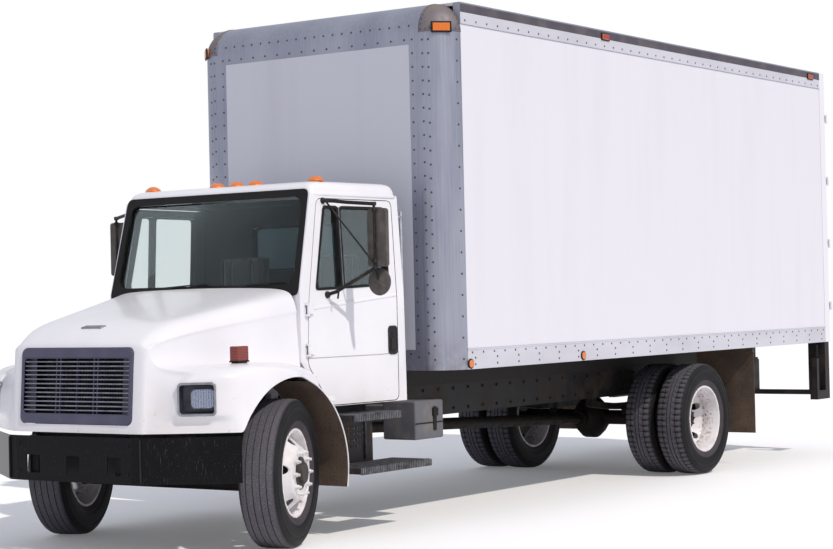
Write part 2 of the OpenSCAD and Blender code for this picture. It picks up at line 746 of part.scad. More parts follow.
// Places a lamp's own frame on the swept face: X along the face, +Y into the fender
lamp_x = 911;
lamp_w = 204;
lamp_z0 = 942;
lamp_z1 = 1146;
module on_swept_face() {
    translate([lamp_x, fender_front + (lamp_x - nose_half_w) * tan(sweep), 0]) rotate([0, 0, sweep]) children();
}
module fender(i) {
    intersection() {
        slab_x(500, 1300) polygon(fender_line(i));
        translate([0, 0, 700]) linear_extrude(700) fender_plan(i);
    }
}
grille_w = 515;
grille_z0 = 876;
grille_z1 = 1386;
module hood() {
    color("#f0eff5") placed() {
        difference() {
            union() {
                bonnet(0);
                both_sides() fender(0);
            }
            bonnet(hood_t);
            both_sides() {
                fender(hood_t);
                // wheel arch, open inwards for the turned wheel
                translate([0, 0, wheel_z]) rod_x(arch_r, 540, 1300);
                // rear of the fender opens over the fixed mud guard
                block([560, 0, 800], [1300, 400, 1113]);
                block([560, fender_rear - hood_t - 1, 800], [cowl_half_w + 60, 400, 1400]);
                on_swept_face() block([-lamp_w / 2, -20, lamp_z0], [lamp_w / 2, 40, lamp_z1]);
            }
            block([-grille_w, -front_overhang, grille_z0], [grille_w, -front_overhang + 120, grille_z1]);
        }
        // lugs that hang the hood on its two pins
        both_sides() for (x = [hood_pin_x - 22, hood_pin_x + 35]) difference() {
            union() {
                block([x, -front_overhang + 22 + hood_t - 3, hood_pin_z - 14], [x + 15, hood_pin_y, hood_pin_z + 14]);
                translate([x, hood_pin_y, hood_pin_z]) rotate([0, 90, 0]) cylinder(r = 16, h = 15);
            }
            translate([0, hood_pin_y, hood_pin_z]) rod_x(hood_pin_r + run_gap, x - 1, x + 16);
        }
    }
}
module grille() {
    color("#5c5c6e") placed() {
        f = -front_overhang + 14;
        difference() {
            slab_x(-grille_w, grille_w) polygon([[f, grille_z0], [f + 70, grille_z0], [f + 108, grille_z1], [f + 42, grille_z1]]);
            block([-grille_w + 45, f - 10, grille_z0 + 60], [grille_w - 45, f + 200, grille_z1 - 60]);
        }
        for (i = [0:10])
            translate([0, f + 14 + (i + 0.5) * 30 / 11 + 2, grille_z0 + 60 + (i + 0.5) * (grille_z1 - grille_z0 - 120) / 11])
                block([-grille_w + 45, 0, -5], [grille_w - 45, 30, 5]);
    }
}
module front_lamps() {
    color("#c8ccd6") placed() both_sides() {
        on_swept_face() {
            block([-lamp_w / 2 + 1, 4, lamp_z0 + 1], [lamp_w / 2 - 1, 60, lamp_z1 - 1]);
            block([-lamp_w / 2 - 14, hood_t + seat_gap, lamp_z0 - 14], [lamp_w / 2 + 14, 61, lamp_z1 + 14]);
        }
        block([925, -460, fender_z], [995, -300, fender_z + 120]);
    }
}

// ---------------------------------------------------------------- wheels
front_mid = kingpin_x + front_offset;
seat_half = 105;
flange_h = 14;
module rim_barrel(mid) {
    translate([mid, 0, 0]) revolved() {
        // barrel with a flange at each edge
        translate([rim_r - 12, -seat_half - 10]) square([12, 2 * seat_half + 20]);
        for (s = [-1, 1]) translate([rim_r - 1, s * (seat_half + 5) - 5]) square([flange_h + 1, 10]);
    }
}
bolt_circle = 143;
bulge = 148;
hand_circle = 205;
module wheel_disc(x, t, holes) {
    difference() {
        rod_x(rim_r - 11, x, x + t);
        for (a = [0:360 / holes:359]) rotate([a + 18, 0, 0]) translate([0, 0, hand_circle]) rod_x(26, x - 1, x + t + 1);
    }
}
module front_rim_straight() {
    translate([0, 0, wheel_z]) {
        difference() {
            union() {
                rim_barrel(front_mid);
                // the disc bulges outwards from the barrel to a flat centre
                difference() {
                    translate([front_mid, 0, 0]) revolved() polygon([[rim_r - 11, 36], [rim_r - 11, 52],
                        [bolt_circle + 39, bulge], [hub_r - 25, bulge], [hub_r - 25, bulge - 14], [bolt_circle + 33, bulge - 14]]);
                    for (a = [0:72:359]) rotate([a + 18, 0, 0]) translate([0, 0, 224]) rod_x(30, front_mid, front_mid + 200);
                }
                rod_x(hub_r + 70, kingpin_x + 66, front_mid + 46);
                rod_x(hub_r - 15, front_mid + 45, hub_face_x);
            }
            rod_x(spindle_r + run_gap, kingpin_x, hub_face_x - 10);
        }
    }
}
module front_rim(side) { color("#e2e0e0") placed() steered(side) front_rim_straight(); }
module front_rim_left() { front_rim(1); }
module front_rim_right() { front_rim(-1); }

module tyre(mid) {
    w = tyre_w / 2;
    b = rim_r + seat_gap;
    translate([mid, 0, wheel_z]) revolved() difference() {
        polygon([[b, -seat_half], [b + 20, -seat_half], [tyre_r - 100, -w], [tyre_r - 40, -w + 8], [tyre_r - 12, -w + 22], [tyre_r, -w + 45],
            [tyre_r, w - 45], [tyre_r - 12, w - 22], [tyre_r - 40, w - 8], [tyre_r - 100, w], [b + 20, seat_half], [b, seat_half]]);
        polygon([[b - 1, -seat_half + 25], [b + 25, -seat_half + 18], [tyre_r - 100, -w + 18], [tyre_r - 30, -w + 40],
            [tyre_r - 30, w - 40], [tyre_r - 100, w - 18], [b + 25, seat_half - 18], [b - 1, seat_half - 25]]);
    }
}
module front_tyre(side) { color("#3a3a3d") placed() steered(side) tyre(front_mid); }
module front_tyre_left() { front_tyre(1); }
module front_tyre_right() { front_tyre(-1); }

twin_mid = dual_mid - dual_spacing / 2;
module rear_rims(side) {
    color("#d9d2cc") placed() on_side(side) translate([0, wheelbase, wheel_z]) difference() {
        union() {
            rim_barrel(dual_mid);
            rim_barrel(dual_mid - dual_spacing);
            wheel_disc(twin_mid, 14, 10);
            wheel_disc(twin_mid - 14, 14, 10);
            // the discs meet the barrels' inner edges, and the hub and brake drum carry them
            rod_x(hub_r, twin_mid + 13, dual_mid - 15);
            rod_x(hub_r + 90, drum_x, twin_mid - 13);
            for (s = [-1, 1]) translate([twin_mid + s * 30, 0, 0]) revolved() translate([rim_r - 12, -32]) square([12, 64]);
        }
        rod_x(rear_spindle_r + run_gap, drum_x - 1, dual_mid - 25);
        rod_x(axle_tube_r + 12, drum_x - 1, drum_x + 40);
    }
}
module rear_rims_left() { rear_rims(1); }
module rear_rims_right() { rear_rims(-1); }
module rear_tyres(side) {
    color("#333336") placed() on_side(side) translate([0, wheelbase, 0]) {
        tyre(dual_mid);
        tyre(dual_mid - dual_spacing);
    }
}
module rear_tyres_left() { rear_tyres(1); }
module rear_tyres_right() { rear_tyres(-1); }

// ---------------------------------------------------------------- van body
front_flange = 90;
frame_inner_y = box_rear - rear_frame_d;
module quarter(r, t) {
    intersection() {
        difference() {
            circle(r);
            circle(r - t);
        }
        square(r + 1);
    }
}
module box_floor() {
    color("#6b665f") placed() {
        block([-box_half + rail_w, box_gap + corner_r, floor_z - 60], [box_half - rail_w, frame_inner_y, floor_z]);
        block([-box_half + corner_r, box_gap + panel_t, floor_z - 60], [box_half - corner_r, box_gap + corner_r + 1, floor_z]);
        for (i = [0:13]) {
            y = box_gap + 260 + i * (box_length - 560) / 13;
            block([-box_half + rail_w, y, box_base_z], [box_half - rail_w, y + 50, floor_z - 59]);
        }
        both_sides() block([rail_x - rail_flange, box_gap + 60, frame_top_z], [rail_x, frame_inner_y, box_base_z + 1]);
    }
}
module box_side_walls() {
    color("#dfdee7") placed() both_sides()
        block([box_half - 5 - panel_t, box_gap + corner_r, box_base_z + lower_rail_h],
            [box_half - 5, frame_inner_y, box_top_z - upper_rail_h]);
}
wall_x = box_half - corner_r - front_flange;
wall_z1 = box_top_z - corner_r - front_flange + 5;
module box_front_wall() {
    color("#9a9bab") placed()
        block([-wall_x, box_gap, box_base_z + lower_rail_h], [wall_x, box_gap + panel_t, wall_z1]);
}
module box_roof() {
    color("#cfd0d6") placed()
        block([-box_half + rail_w, box_gap + corner_r, box_top_z - panel_t], [box_half - rail_w, frame_inner_y, box_top_z]);
}
module box_frame() {
    color("#8d90a0") placed() {
        cx = box_half - corner_r;
        cy = box_gap + corner_r;
        cz = box_top_z - corner_r;
        both_sides() {
            // side rails
            block([box_half - rail_w, cy, box_base_z], [box_half, frame_inner_y, box_base_z + lower_rail_h]);
            block([box_half - rail_w, cy, box_top_z - upper_rail_h], [box_half, frame_inner_y, box_top_z]);
            // round corner post and its cap
            translate([cx, cy, box_base_z]) mirror([0, 1, 0]) linear_extrude(cz - box_base_z) quarter(corner_r, panel_t);
            translate([cx, cy, cz]) mirror([0, 1, 0]) rotate_extrude(angle = 90) quarter(corner_r, panel_t);
            // flange of the post on the front wall
            block([wall_x, box_gap, box_base_z], [cx, box_gap + panel_t, cz]);
        }
        // round rail along the top of the front wall, its flange, and the front sill
        translate([-cx, cy, cz]) rotate([90, 0, 90]) mirror([1, 0, 0]) linear_extrude(2 * cx) quarter(corner_r, panel_t);
        block([-wall_x, box_gap, wall_z1], [wall_x, box_gap + panel_t, cz]);
        block([-wall_x, box_gap, box_base_z], [wall_x, box_gap + panel_t, box_base_z + lower_rail_h]);
    }
}
door_head_z = box_top_z - header_h;
hinge_x = box_half + 10;
hinge_y = box_rear + 20;
rear_pin_r = 7;
rear_hinge_z = [for (i = [0:3]) floor_z + 200 + i * (door_head_z - floor_z - 460) / 3];
module rear_frame() {
    color("#e3e2ea") placed() {
        both_sides() {
            block([box_half - rear_post_w, frame_inner_y, box_base_z], [box_half, box_rear, box_top_z]);
            // hinge brackets and pins
            for (z = rear_hinge_z) {
                translate([hinge_x, hinge_y, z - 16]) cylinder(r = rear_pin_r, h = 92);
                for (dz = [-16, 62]) {
                    translate([hinge_x, hinge_y, z + dz]) cylinder(r = 12, h = 14);
                    block([box_half - 60, box_rear - 1, z + dz], [hinge_x, hinge_y, z + dz + 14]);
                }
            }
        }
        block([-box_half + rear_post_w - 1, frame_inner_y, door_head_z], [box_half - rear_post_w + 1, box_rear, box_top_z]);
        block([-box_half + rear_post_w - 1, frame_inner_y, box_base_z], [box_half - rear_post_w + 1, box_rear, floor_z]);
    }
}
rear_gap = 6;
module rear_door(side) {
    color("#dcdbe3") placed() on_side(side) {
        block([rear_gap / 2, box_rear - rear_door_t, floor_z + rear_gap],
            [box_half - rear_post_w - rear_gap, box_rear, door_head_z - rear_gap]);
        for (z = rear_hinge_z) difference() {
            union() {
                block([box_half - rear_post_w - 120, box_rear - 1, z], [box_half - rear_post_w - rear_gap, box_rear + 22, z + 60]);
                block([box_half - rear_post_w - rear_gap - 1, box_rear + 14, z], [hinge_x, box_rear + 22, z + 60]);
                translate([hinge_x, hinge_y, z]) cylinder(r = 12, h = 60);
            }
            translate([hinge_x, hinge_y, z - 1]) cylinder(r = rear_pin_r + run_gap, h = 62);
        }
        // lock rod and its guides
        translate([130, box_rear + 22, floor_z + 40]) cylinder(r = 14, h = door_head_z - floor_z - 80);
        for (z = [floor_z + 120, (floor_z + door_head_z) / 2, door_head_z - 160])
            block([100, box_rear - 1, z], [160, box_rear + 20, z + 40]);
    }
}
module rear_door_left() { rear_door(1); }
module rear_door_right() { rear_door(-1); }

module marker_lamps() {
    color("#d9731f") placed() {
        // five on the cab's roof
        for (p = [[-779, 715], [-184, 765], [0, 770], [184, 765], [779, 715]])
            translate([p[0], p[1], cab_top - 30]) difference() {
                sphere(r = 70);
                block([-80, -80, -80], [80, 80, 30]);
            }
        both_sides() {
            // on the corner caps, the upper rail and the lower rail
            difference() {
                translate([box_half - corner_r, box_gap + corner_r, box_top_z - corner_r]) rotate([0, 0, -45])
                    block([corner_r - 20, -65, 0], [corner_r + 18, 65, 58]);
                translate([box_half - corner_r, box_gap + corner_r, box_top_z - corner_r]) sphere(r = corner_r + seat_gap);
            }
            for (y = [box_gap + 2425, box_rear - 350]) block([box_half, y - 55, box_top_z - 80], [box_half + 16, y + 55, box_top_z - 36]);
            for (y = [box_gap + 260, box_gap + 1935]) translate([0, y, box_base_z + 42]) rod_x(30, box_half, box_half + 14);
            for (x = [box_half - 260, box_half - 390]) translate([x, 0, box_base_z + 70]) rod_y(48, box_rear, box_rear + 14);
        }
    }
}
guard_z = 580;
module rear_guard() {
    color("#232225") placed() {
        both_sides() {
            // column under the corner with its slot, corner step, and hanger on the frame rail
            difference() {
                block([1030, box_rear - 130, guard_z + 47], [box_half - 4, box_rear - 30, box_base_z]);
                block([1115, box_rear - 140, 960], [1140, box_rear, 1090]);
            }
            block([box_half - 60, box_rear - 340, guard_z + 47], [box_half - 4, box_rear - 290, 960]);
            block([box_half - 84, box_rear - 340, guard_z - 40], [box_half - 4, box_rear - 30, guard_z + 48]);
            block([rail_x, box_rear - 240, guard_z + 47], [rail_x + 12, box_rear - 60, frame_top_z - 20]);
        }
        block([-box_half + 84, box_rear - 120, guard_z], [box_half - 84, box_rear - 60, guard_z + 48]);
    }
}

chassis_frame();
front_axle();
rear_axle();
leaf_springs();
driveshaft();
engine();
radiator();
front_bumper();
fuel_tank();
exhaust();
cab_steps();
tool_box();
mud_guards();
mud_flaps();
cab_floor();
cab_front_panel();
cab_back_panel();
cab_door_frames();
cab_roof();
cab_glass();
dashboard();
steering_wheel();
seats();
grab_handles();
box_floor();
box_side_walls();
box_front_wall();
box_roof();
box_frame();
rear_frame();
marker_lamps();
rear_guard();
hood();
grille();
front_lamps();
door_left();
door_right();
door_glass_left();
door_glass_right();
mirror_left();
mirror_right();
rear_door_left();
rear_door_right();
knuckle_left();
knuckle_right();
tie_rod();
front_rim_left();
front_rim_right();
front_tyre_left();
front_tyre_right();
rear_rims_left();
rear_rims_right();
rear_tyres_left();
rear_tyres_right();
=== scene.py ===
import math

import bmesh
import bpy
from mathutils import Matrix, Vector


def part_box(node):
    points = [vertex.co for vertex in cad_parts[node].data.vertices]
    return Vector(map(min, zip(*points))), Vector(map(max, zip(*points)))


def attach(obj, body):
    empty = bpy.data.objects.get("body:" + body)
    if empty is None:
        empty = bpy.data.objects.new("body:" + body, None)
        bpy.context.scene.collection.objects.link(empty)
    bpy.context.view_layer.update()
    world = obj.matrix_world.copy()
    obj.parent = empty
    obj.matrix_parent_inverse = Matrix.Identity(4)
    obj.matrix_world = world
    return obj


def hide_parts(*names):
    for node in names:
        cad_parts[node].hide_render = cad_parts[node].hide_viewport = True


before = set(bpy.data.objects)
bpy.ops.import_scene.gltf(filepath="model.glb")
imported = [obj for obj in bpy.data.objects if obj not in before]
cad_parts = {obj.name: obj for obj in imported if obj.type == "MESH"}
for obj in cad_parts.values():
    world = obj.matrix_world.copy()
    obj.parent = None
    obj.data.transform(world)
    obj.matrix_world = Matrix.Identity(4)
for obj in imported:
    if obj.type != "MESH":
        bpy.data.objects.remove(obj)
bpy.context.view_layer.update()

# ---------------------------------------------------------------- Chassis frame
# Two pressed-steel channel rails with riveted crossmembers, in satin black chassis paint.
# Years of road dust lie on every upper face, and the bolts that hold the brackets stand proud.


def linear(hex_colour):
    """An sRGB hex colour as the linear RGBA that the shaders use."""
    parts = [int(hex_colour[i:i + 2], 16) / 255 for i in (1, 3, 5)]
    return [c / 12.92 if c <= 0.04045 else ((c + 0.055) / 1.055) ** 2.4 for c in parts] + [1.0]


def add(tree, kind, inputs=None, **settings):
    """Adds a node. inputs gives each socket, by name or number, a value or another node's output."""
    made = tree.nodes.new(kind)
    for name, value in settings.items():
        setattr(made, name, value)
    for socket, value in (inputs or {}).items():
        if isinstance(value, bpy.types.NodeSocket):
            tree.links.new(value, made.inputs[socket])
        else:
            made.inputs[socket].default_value = value
    return made


def new_tree(name):
    """A new material and its empty node tree."""
    made = bpy.data.materials.new(name)
    made.use_nodes = True
    made.node_tree.nodes.clear()
    return made, made.node_tree


def shade(tree, inputs):
    """Ends a tree with a Principled surface."""
    shader = add(tree, "ShaderNodeBsdfPrincipled", inputs)
    add(tree, "ShaderNodeOutputMaterial", {"Surface": shader.outputs[0]})


def blotches(tree, size_mm, low, high, detail=4.0, stretch=(1, 1, 1)):
    """Soft patches of about size_mm, as a share from 0 to 1."""
    where = add(tree, "ShaderNodeTexCoord").outputs["Object"]
    spread = add(tree, "ShaderNodeMapping", {0: where, "Scale": stretch}).outputs[0]
    cloud = add(tree, "ShaderNodeTexNoise", {"Vector": spread, "Scale": 1000 / size_mm, "Detail": detail})
    share = add(tree, "ShaderNodeMapRange", {0: cloud.outputs[0], 1: low, 2: high, 3: 0.0, 4: 1.0})
    return share.outputs[0]


def blend(tree, share, under, over):
    """One colour laid over another by a share. Each colour is hex text or a node's output."""
    made = add(tree, "ShaderNodeMix", {0: share}, data_type="RGBA")
    for socket, colour in ((6, under), (7, over)):
        if isinstance(colour, str):
            made.inputs[socket].default_value = linear(colour)
        else:
            tree.links.new(colour, made.inputs[socket])
    return made.outputs[2]


def calc(tree, operation, first, second=0.0):
    """Arithmetic on two shares."""
    return add(tree, "ShaderNodeMath", {0: first, 1: second}, operation=operation, use_clamp=True).outputs[0]


def relief(tree, height, depth_mm):
    """A normal from a height share, depth_mm deep."""
    return add(tree, "ShaderNodeBump",
               {"Height": height, "Distance": depth_mm / 1000, "Strength": 1.0}).outputs[0]


def facing_up(tree, low, high):
    """1 on faces that look up, 0 on the rest."""
    normal = add(tree, "ShaderNodeNewGeometry").outputs["Normal"]
    up = add(tree, "ShaderNodeSeparateXYZ", {0: normal}).outputs[2]
    return add(tree, "ShaderNodeMapRange", {0: up, 1: low, 2: high, 3: 0.0, 4: 1.0}).outputs[0]


def weathered(name, coat, film, size_mm, cover, rough, metal=0.0, grain_mm=3.0, grain_depth=0.15):
    """A coat or bare metal under a patchy film of dirt, with a fine grain."""
    made, tree = new_tree(name)
    patch = blotches(tree, size_mm, 0.62 - cover * 0.4, 0.80 - cover * 0.2)
    dust = calc(tree, "MAXIMUM", patch, calc(tree, "MULTIPLY", facing_up(tree, 0.3, 0.9), cover))
    tone = blend(tree, blotches(tree, size_mm * 3, 0.3, 0.7), coat, blend(tree, 0.25, coat, film))
    shine = add(tree, "ShaderNodeMapRange", {0: dust, 3: rough, 4: min(rough + 0.35, 0.95)}).outputs[0]
    shade(tree, {
        "Base Color": blend(tree, dust, tone, film), "Roughness": shine, "Metallic": metal,
        "Specular IOR Level": 0.3,
        "Normal": relief(tree, blotches(tree, grain_mm, 0.2, 0.8), grain_depth)})
    return made


def bevel(piece, width_mm, segments, angle):
    """Rounds a piece's sharp edges with a modifier."""
    edge = piece.modifiers.new("edge", "BEVEL")
    edge.width = width_mm / 1000
    edge.segments = segments
    edge.angle_limit = math.radians(angle)
    edge.harden_normals = True


def stand(name, data):
    """Adds an object to the scene."""
    made = bpy.data.objects.new(name, data)
    bpy.context.scene.collection.objects.link(made)
    return made


def dress(node, material, edge_mm=0.0, angle=35):
    """Gives a CAD node its material and, by modifiers alone, rounds its sharp edges."""
    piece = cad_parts[node]
    for slot in piece.material_slots:
        slot.material = material
    if edge_mm:
        piece.modifiers.new("weld", "WELD").merge_threshold = 0.00002
        planar = piece.modifiers.new("flat", "DECIMATE")
        planar.decimate_type = "DISSOLVE"
        planar.angle_limit = math.radians(1.0)
        bevel(piece, edge_mm, 2, angle)


def place(name, form, material, body="truck", replaces=(), edge_mm=0.0, smooth=35, at=None):
    """Turns a bmesh into a piece that rides on a body."""
    mesh = bpy.data.meshes.new(name)
    bmesh.ops.recalc_face_normals(form, faces=form.faces)
    form.to_mesh(mesh)
    form.free()
    mesh.polygons.foreach_set("use_smooth", [True] * len(mesh.polygons))
    mesh.set_sharp_from_angle(angle=math.radians(smooth))
    made = stand(name, mesh)
    if at is not None:
        made.matrix_world = at
    mesh.materials.append(material)
    if edge_mm:
        bevel(made, edge_mm, 3, 30)
    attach(made, body)
    if replaces:
        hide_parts(*replaces)
    return made


def block(form, low, high):
    """Adds a box to a bmesh, from one corner to the other."""
    low, high = Vector(low), Vector(high)
    at = Matrix.Translation((low + high) / 2) @ Matrix.Diagonal((*(high - low), 1))
    return bmesh.ops.create_cube(form, size=1.0, matrix=at)["verts"]


def turn_to(direction):
    """A rotation that points +Z along a direction."""
    return Vector(direction).normalized().to_track_quat("Z", "Y").to_matrix().to_4x4()


def round_ring(form, at, radius, lift, sides):
    """A ring of points round an axis, at a height along it."""
    angles = [math.tau * i / sides for i in range(sides)]
    return [form.verts.new(at @ Vector((math.cos(a) * radius, math.sin(a) * radius, lift))) for a in angles]


def skin(form, rings):
    """Joins closed rings one to the next."""
    for first, second in zip(rings, rings[1:]):
        for i in range(len(first)):
            j = (i + 1) % len(first)
            form.faces.new((first[i], first[j], second[j], second[i]))


def studs(form, spots, radius, height, sides=8, dome=True):
    """Adds a rivet head or a bolt head at each (point, direction)."""
    profile = [(1.0, 0.0), (0.92, 0.55), (0.55, 0.92)] if dome else [(1.0, 0.0), (1.0, 0.85), (0.86, 1.0)]
    for point, direction in spots:
        at = Matrix.Translation(point) @ turn_to(direction)
        rings = [round_ring(form, at, radius * width, height * lift, sides) for width, lift in profile]
        skin(form, rings)
        form.faces.new(rings[-1])


def between(first, last, count):
    """count even steps from one value to another, ends included."""
    return [first + (last - first) * i / (count - 1) for i in range(count)]


FRONT_Y = sum(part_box("front_axle")[i].y for i in (0, 1)) / 2    # plane of the front axle
REAR_Y = sum(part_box("rear_tyres_left")[i].y for i in (0, 1)) / 2    # plane of the rear axle
SIDES = (1, -1)
NAMED_SIDES = ((1, "left"), (-1, "right"))

chassis_black = weathered("chassis_black_paint", "#17171a", "#3b332c", 180, 0.35, 0.5)
for node in ("chassis_frame", "rear_guard"):
    dress(node, chassis_black, 3)

rail_x = 0.432    # outer face of a rail's web
bolt_rows = (0.765, 0.925)    # heights of the two rows of bolts
form = bmesh.new()
spots = []
for side in SIDES:
    for y in between(FRONT_Y - 0.75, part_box("chassis_frame")[1].y - 0.12, 44):
        for z in bolt_rows:
            spots.append((Vector((side * rail_x, y, z)), (side, 0, 0)))
studs(form, spots, 0.013, 0.012, sides=6, dome=False)
place("frame_bolts", form, chassis_black)

# ---------------------------------------------------------------- Axles, springs and drive line
# Forged and cast steel parts, black once and now oily and dusty brown, with rust in the hollows.
# The knuckles turn on their kingpins, and the track rod ties their arms together.

oily_iron = weathered("oily_cast_iron", "#100f0f", "#2b221c", 90, 0.5, 0.55, metal=0.3, grain_mm=6,
                      grain_depth=0.8)
for node in ("front_axle", "rear_axle", "leaf_springs", "driveshaft", "engine",
             "knuckle_left", "knuckle_right", "tie_rod"):
    dress(node, oily_iron, 2)

# ---------------------------------------------------------------- Radiator
# An aluminium core of thin fins between tubes, blackened by heat and dirt, behind the grille.
# It stands between the rails, ahead of the engine.

made, tree = new_tree("finned_radiator_core")
where = add(tree, "ShaderNodeTexCoord").outputs["Object"]
fins = add(tree, "ShaderNodeTexWave", {"Vector": where, "Scale": 1000 / (12 * 6.3)}, bands_direction="Z")
shade(tree, {"Base Color": blend(tree, fins.outputs[1], "#060607", "#1d1d20"), "Roughness": 0.6,
             "Metallic": 0.4, "Normal": relief(tree, fins.outputs[1], 2)})
dress("radiator", made, 3)

# ---------------------------------------------------------------- Fuel tank
# A round tank of brushed aluminium on two shelves, held down by a steel band at each shelf.
# It hangs on the right-hand rail, with its filler cap towards the cab.

made, tree = new_tree("brushed_aluminium_tank")
streak = blotches(tree, 40, 0.3, 0.7, stretch=(1, 0.04, 1))
shade(tree, {"Base Color": blend(tree, streak, "#7f8388", "#9b9ea3"), "Metallic": 0.9,
             "Roughness": add(tree, "ShaderNodeMapRange", {0: streak, 3: 0.36, 4: 0.5}).outputs[0],
             "Normal": relief(tree, streak, 0.1)})
dress("fuel_tank", made, 4)


def join_rows(form, rows):
    """Joins open rows of points one to the next."""
    for first, second in zip(rows, rows[1:]):
        for i in range(len(first) - 1):
            form.faces.new((first[i], first[i + 1], second[i + 1], second[i]))


def turned(form, outline, steps=64, axis="X", centre=(0, 0, 0)):
    """Turns an outline of (distance along the axis, radius) points, or one outline a step, about X or Y."""
    rings = []
    for i in range(steps):
        a = math.tau * i / steps
        ring = []
        for along, radius in (outline(i) if callable(outline) else outline):
            across = (radius * math.cos(a), radius * math.sin(a))
            point = (along, *across) if axis == "X" else (across[0], along, across[1])
            ring.append(form.verts.new(Vector(point) + Vector(centre)))
        rings.append(ring)
    join_rows(form, rings + rings[:1])


tank_low, tank_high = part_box("fuel_tank")
tank_r = 0.28
band_y = [tank_low.y + 0.21, tank_high.y - 0.22]
form = bmesh.new()
for y in band_y:
    centre = (tank_low.x + tank_r, y, tank_high.z - tank_r)
    band = [(-0.03, tank_r + 0.0005), (-0.03, tank_r + 0.004), (0.03, tank_r + 0.004),
            (0.03, tank_r + 0.0005)]
    turned(form, band, 96, "Y", centre)
filler_cap = [(0, 0.0), (0, 0.055), (0.02, 0.055), (0.03, 0.045), (0.032, 0.0)]
turned(form, filler_cap, 32, "X", (tank_low.x + 0.12, tank_low.y + 0.09, tank_high.z - 0.18))
place("tank_bands", form, chassis_black)

# ---------------------------------------------------------------- Exhaust
# A steel muffler and tail pipe beside the right-hand rail, heat-tinted and rusty.
# It is welded from plain tube and hung on a bracket.

rusty_steel = weathered("heat_rusted_steel", "#4b423d", "#6b3f27", 60, 0.7, 0.6, metal=0.5, grain_mm=4,
                        grain_depth=0.5)
dress("exhaust", rusty_steel, 6)

# ---------------------------------------------------------------- Cab steps
# Two treads of steel chequer plate with saw-toothed lips, and a perforated panel between them.
# Boots have worn the black paint from the raised lozenges, and rust stains the panel.

made, tree = new_tree("chequer_plate_step")
where = add(tree, "ShaderNodeTexCoord").outputs["Object"]
lozenges = []
pitch_mm = 30
for turn in (45, -45):
    spin = add(tree, "ShaderNodeMapping", {0: where, "Rotation": (0, 0, math.radians(turn))}).outputs[0]
    bars = add(tree, "ShaderNodeTexBrick", {
        "Vector": spin, "Scale": 1000 / pitch_mm, "Color1": (0, 0, 0, 1), "Color2": (0, 0, 0, 1),
        "Mortar": (1, 1, 1, 1), "Mortar Size": 0.16, "Mortar Smooth": 0.5, "Brick Width": 1.0,
        "Row Height": 0.5})
    lozenges.append(bars.outputs[0])
raised = add(tree, "ShaderNodeMix", {0: 0.5, 6: lozenges[0], 7: lozenges[1]}, data_type="RGBA").outputs[2]
worn = calc(tree, "MULTIPLY", raised, blotches(tree, 60, 0.3, 0.6))
base = blend(tree, blotches(tree, 120, 0.5, 0.75), "#202024", "#3a3430")
shade(tree, {"Base Color": blend(tree, worn, base, "#77777e"), "Metallic": 0.4, "Roughness": 0.5,
             "Normal": relief(tree, raised, 2)})
tread_plate = made
dress("cab_steps", weathered("worn_black_steel", "#232329", "#57453a", 140, 0.4, 0.45), 3)

step_low, step_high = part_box("cab_steps")
lower_z, lower_rear = step_low.z + 0.04, step_high.y
tread_in = 0.80
treads = ((1.10, step_low.y, step_low.y + 0.57, step_high.z), (1.155, step_low.y, lower_rear, lower_z))
for side, name in NAMED_SIDES:
    form = bmesh.new()
    # treads laid on the carriers, with a lip that hangs down along their outer edge
    for x1, y0, y1, z in treads:
        block(form, (side * tread_in, y0, z), (side * x1, y1, z + 0.004))
        block(form, (side * (x1 - 0.003), y0, z - 0.045), (side * (x1 + 0.002), y1, z + 0.003))
    place("step_treads_" + name, form, tread_plate, edge_mm=1)
    form = bmesh.new()
    for x1, y0, y1, z in treads:
        teeth = int((y1 - y0) / 0.03)
        for i in range(teeth):
            y = y0 + 0.015 + i * 0.03
            tip = [form.verts.new((side * (x1 + 0.001), y + dy, z + dz)) for dy, dz in
                   ((-0.011, 0.002), (0, 0.012), (0.011, 0.002))]
            back = [form.verts.new(v.co - Vector((side * 0.004, 0, 0))) for v in tip]
            form.faces.new(tip)
            form.faces.new(back[::-1])
            for j in range(3):
                form.faces.new((tip[j], back[j], back[(j + 1) % 3], tip[(j + 1) % 3]))
    # round holes of the panel, as raised rims in four rows, and two upright ribs
    rims = [(Vector((side * 0.8, step_low.y + 0.06 + 0.034 * i, 0.60 + 0.045 * j)), (side, 0, 0))
            for i in range(15) for j in range(4)]
    studs(form, rims, 0.010, 0.004, sides=10, dome=False)
    for y in (step_low.y + 0.10, step_low.y + 0.52):
        block(form, (side * 0.8, y, 0.5), (side * 0.812, y + 0.015, 0.81))
    place("step_teeth_" + name, form, tread_plate)

# ---------------------------------------------------------------- Tool box
# A moulded grey plastic battery box, held shut by a black rubber strap and its buckle.
# A steel bracket carries it on the left-hand rail.

moulded_grey = weathered("moulded_grey_plastic", "#5f6068", "#7b7672", 120, 0.3, 0.55, grain_mm=2,
                         grain_depth=0.3)
dress("tool_box", moulded_grey, 14)
black_rubber = weathered("black_rubber", "#08080a", "#1f1d1c", 80, 0.3, 0.6, grain_mm=1.5, grain_depth=0.1)
low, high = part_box("tool_box")
mid_y = high.y - 0.12
form = bmesh.new()
block(form, (high.x - 0.001, mid_y - 0.02, low.z + 0.06), (high.x + 0.007, mid_y + 0.02, high.z - 0.05))
block(form, (high.x - 0.001, mid_y - 0.032, high.z - 0.12), (high.x + 0.016, mid_y + 0.032, high.z - 0.06))
block(form, (high.x - 0.001, low.y + 1e-3, low.z + 0.115), (high.x + 0.004, high.y - 0.002, low.z + 0.125))
place("tool_box_strap", form, black_rubber, edge_mm=2)

# ---------------------------------------------------------------- Mud flaps
# Flat sheets of black rubber behind the rear wheels, brown with dried mud.
# Each hangs from a bar under the body's floor.

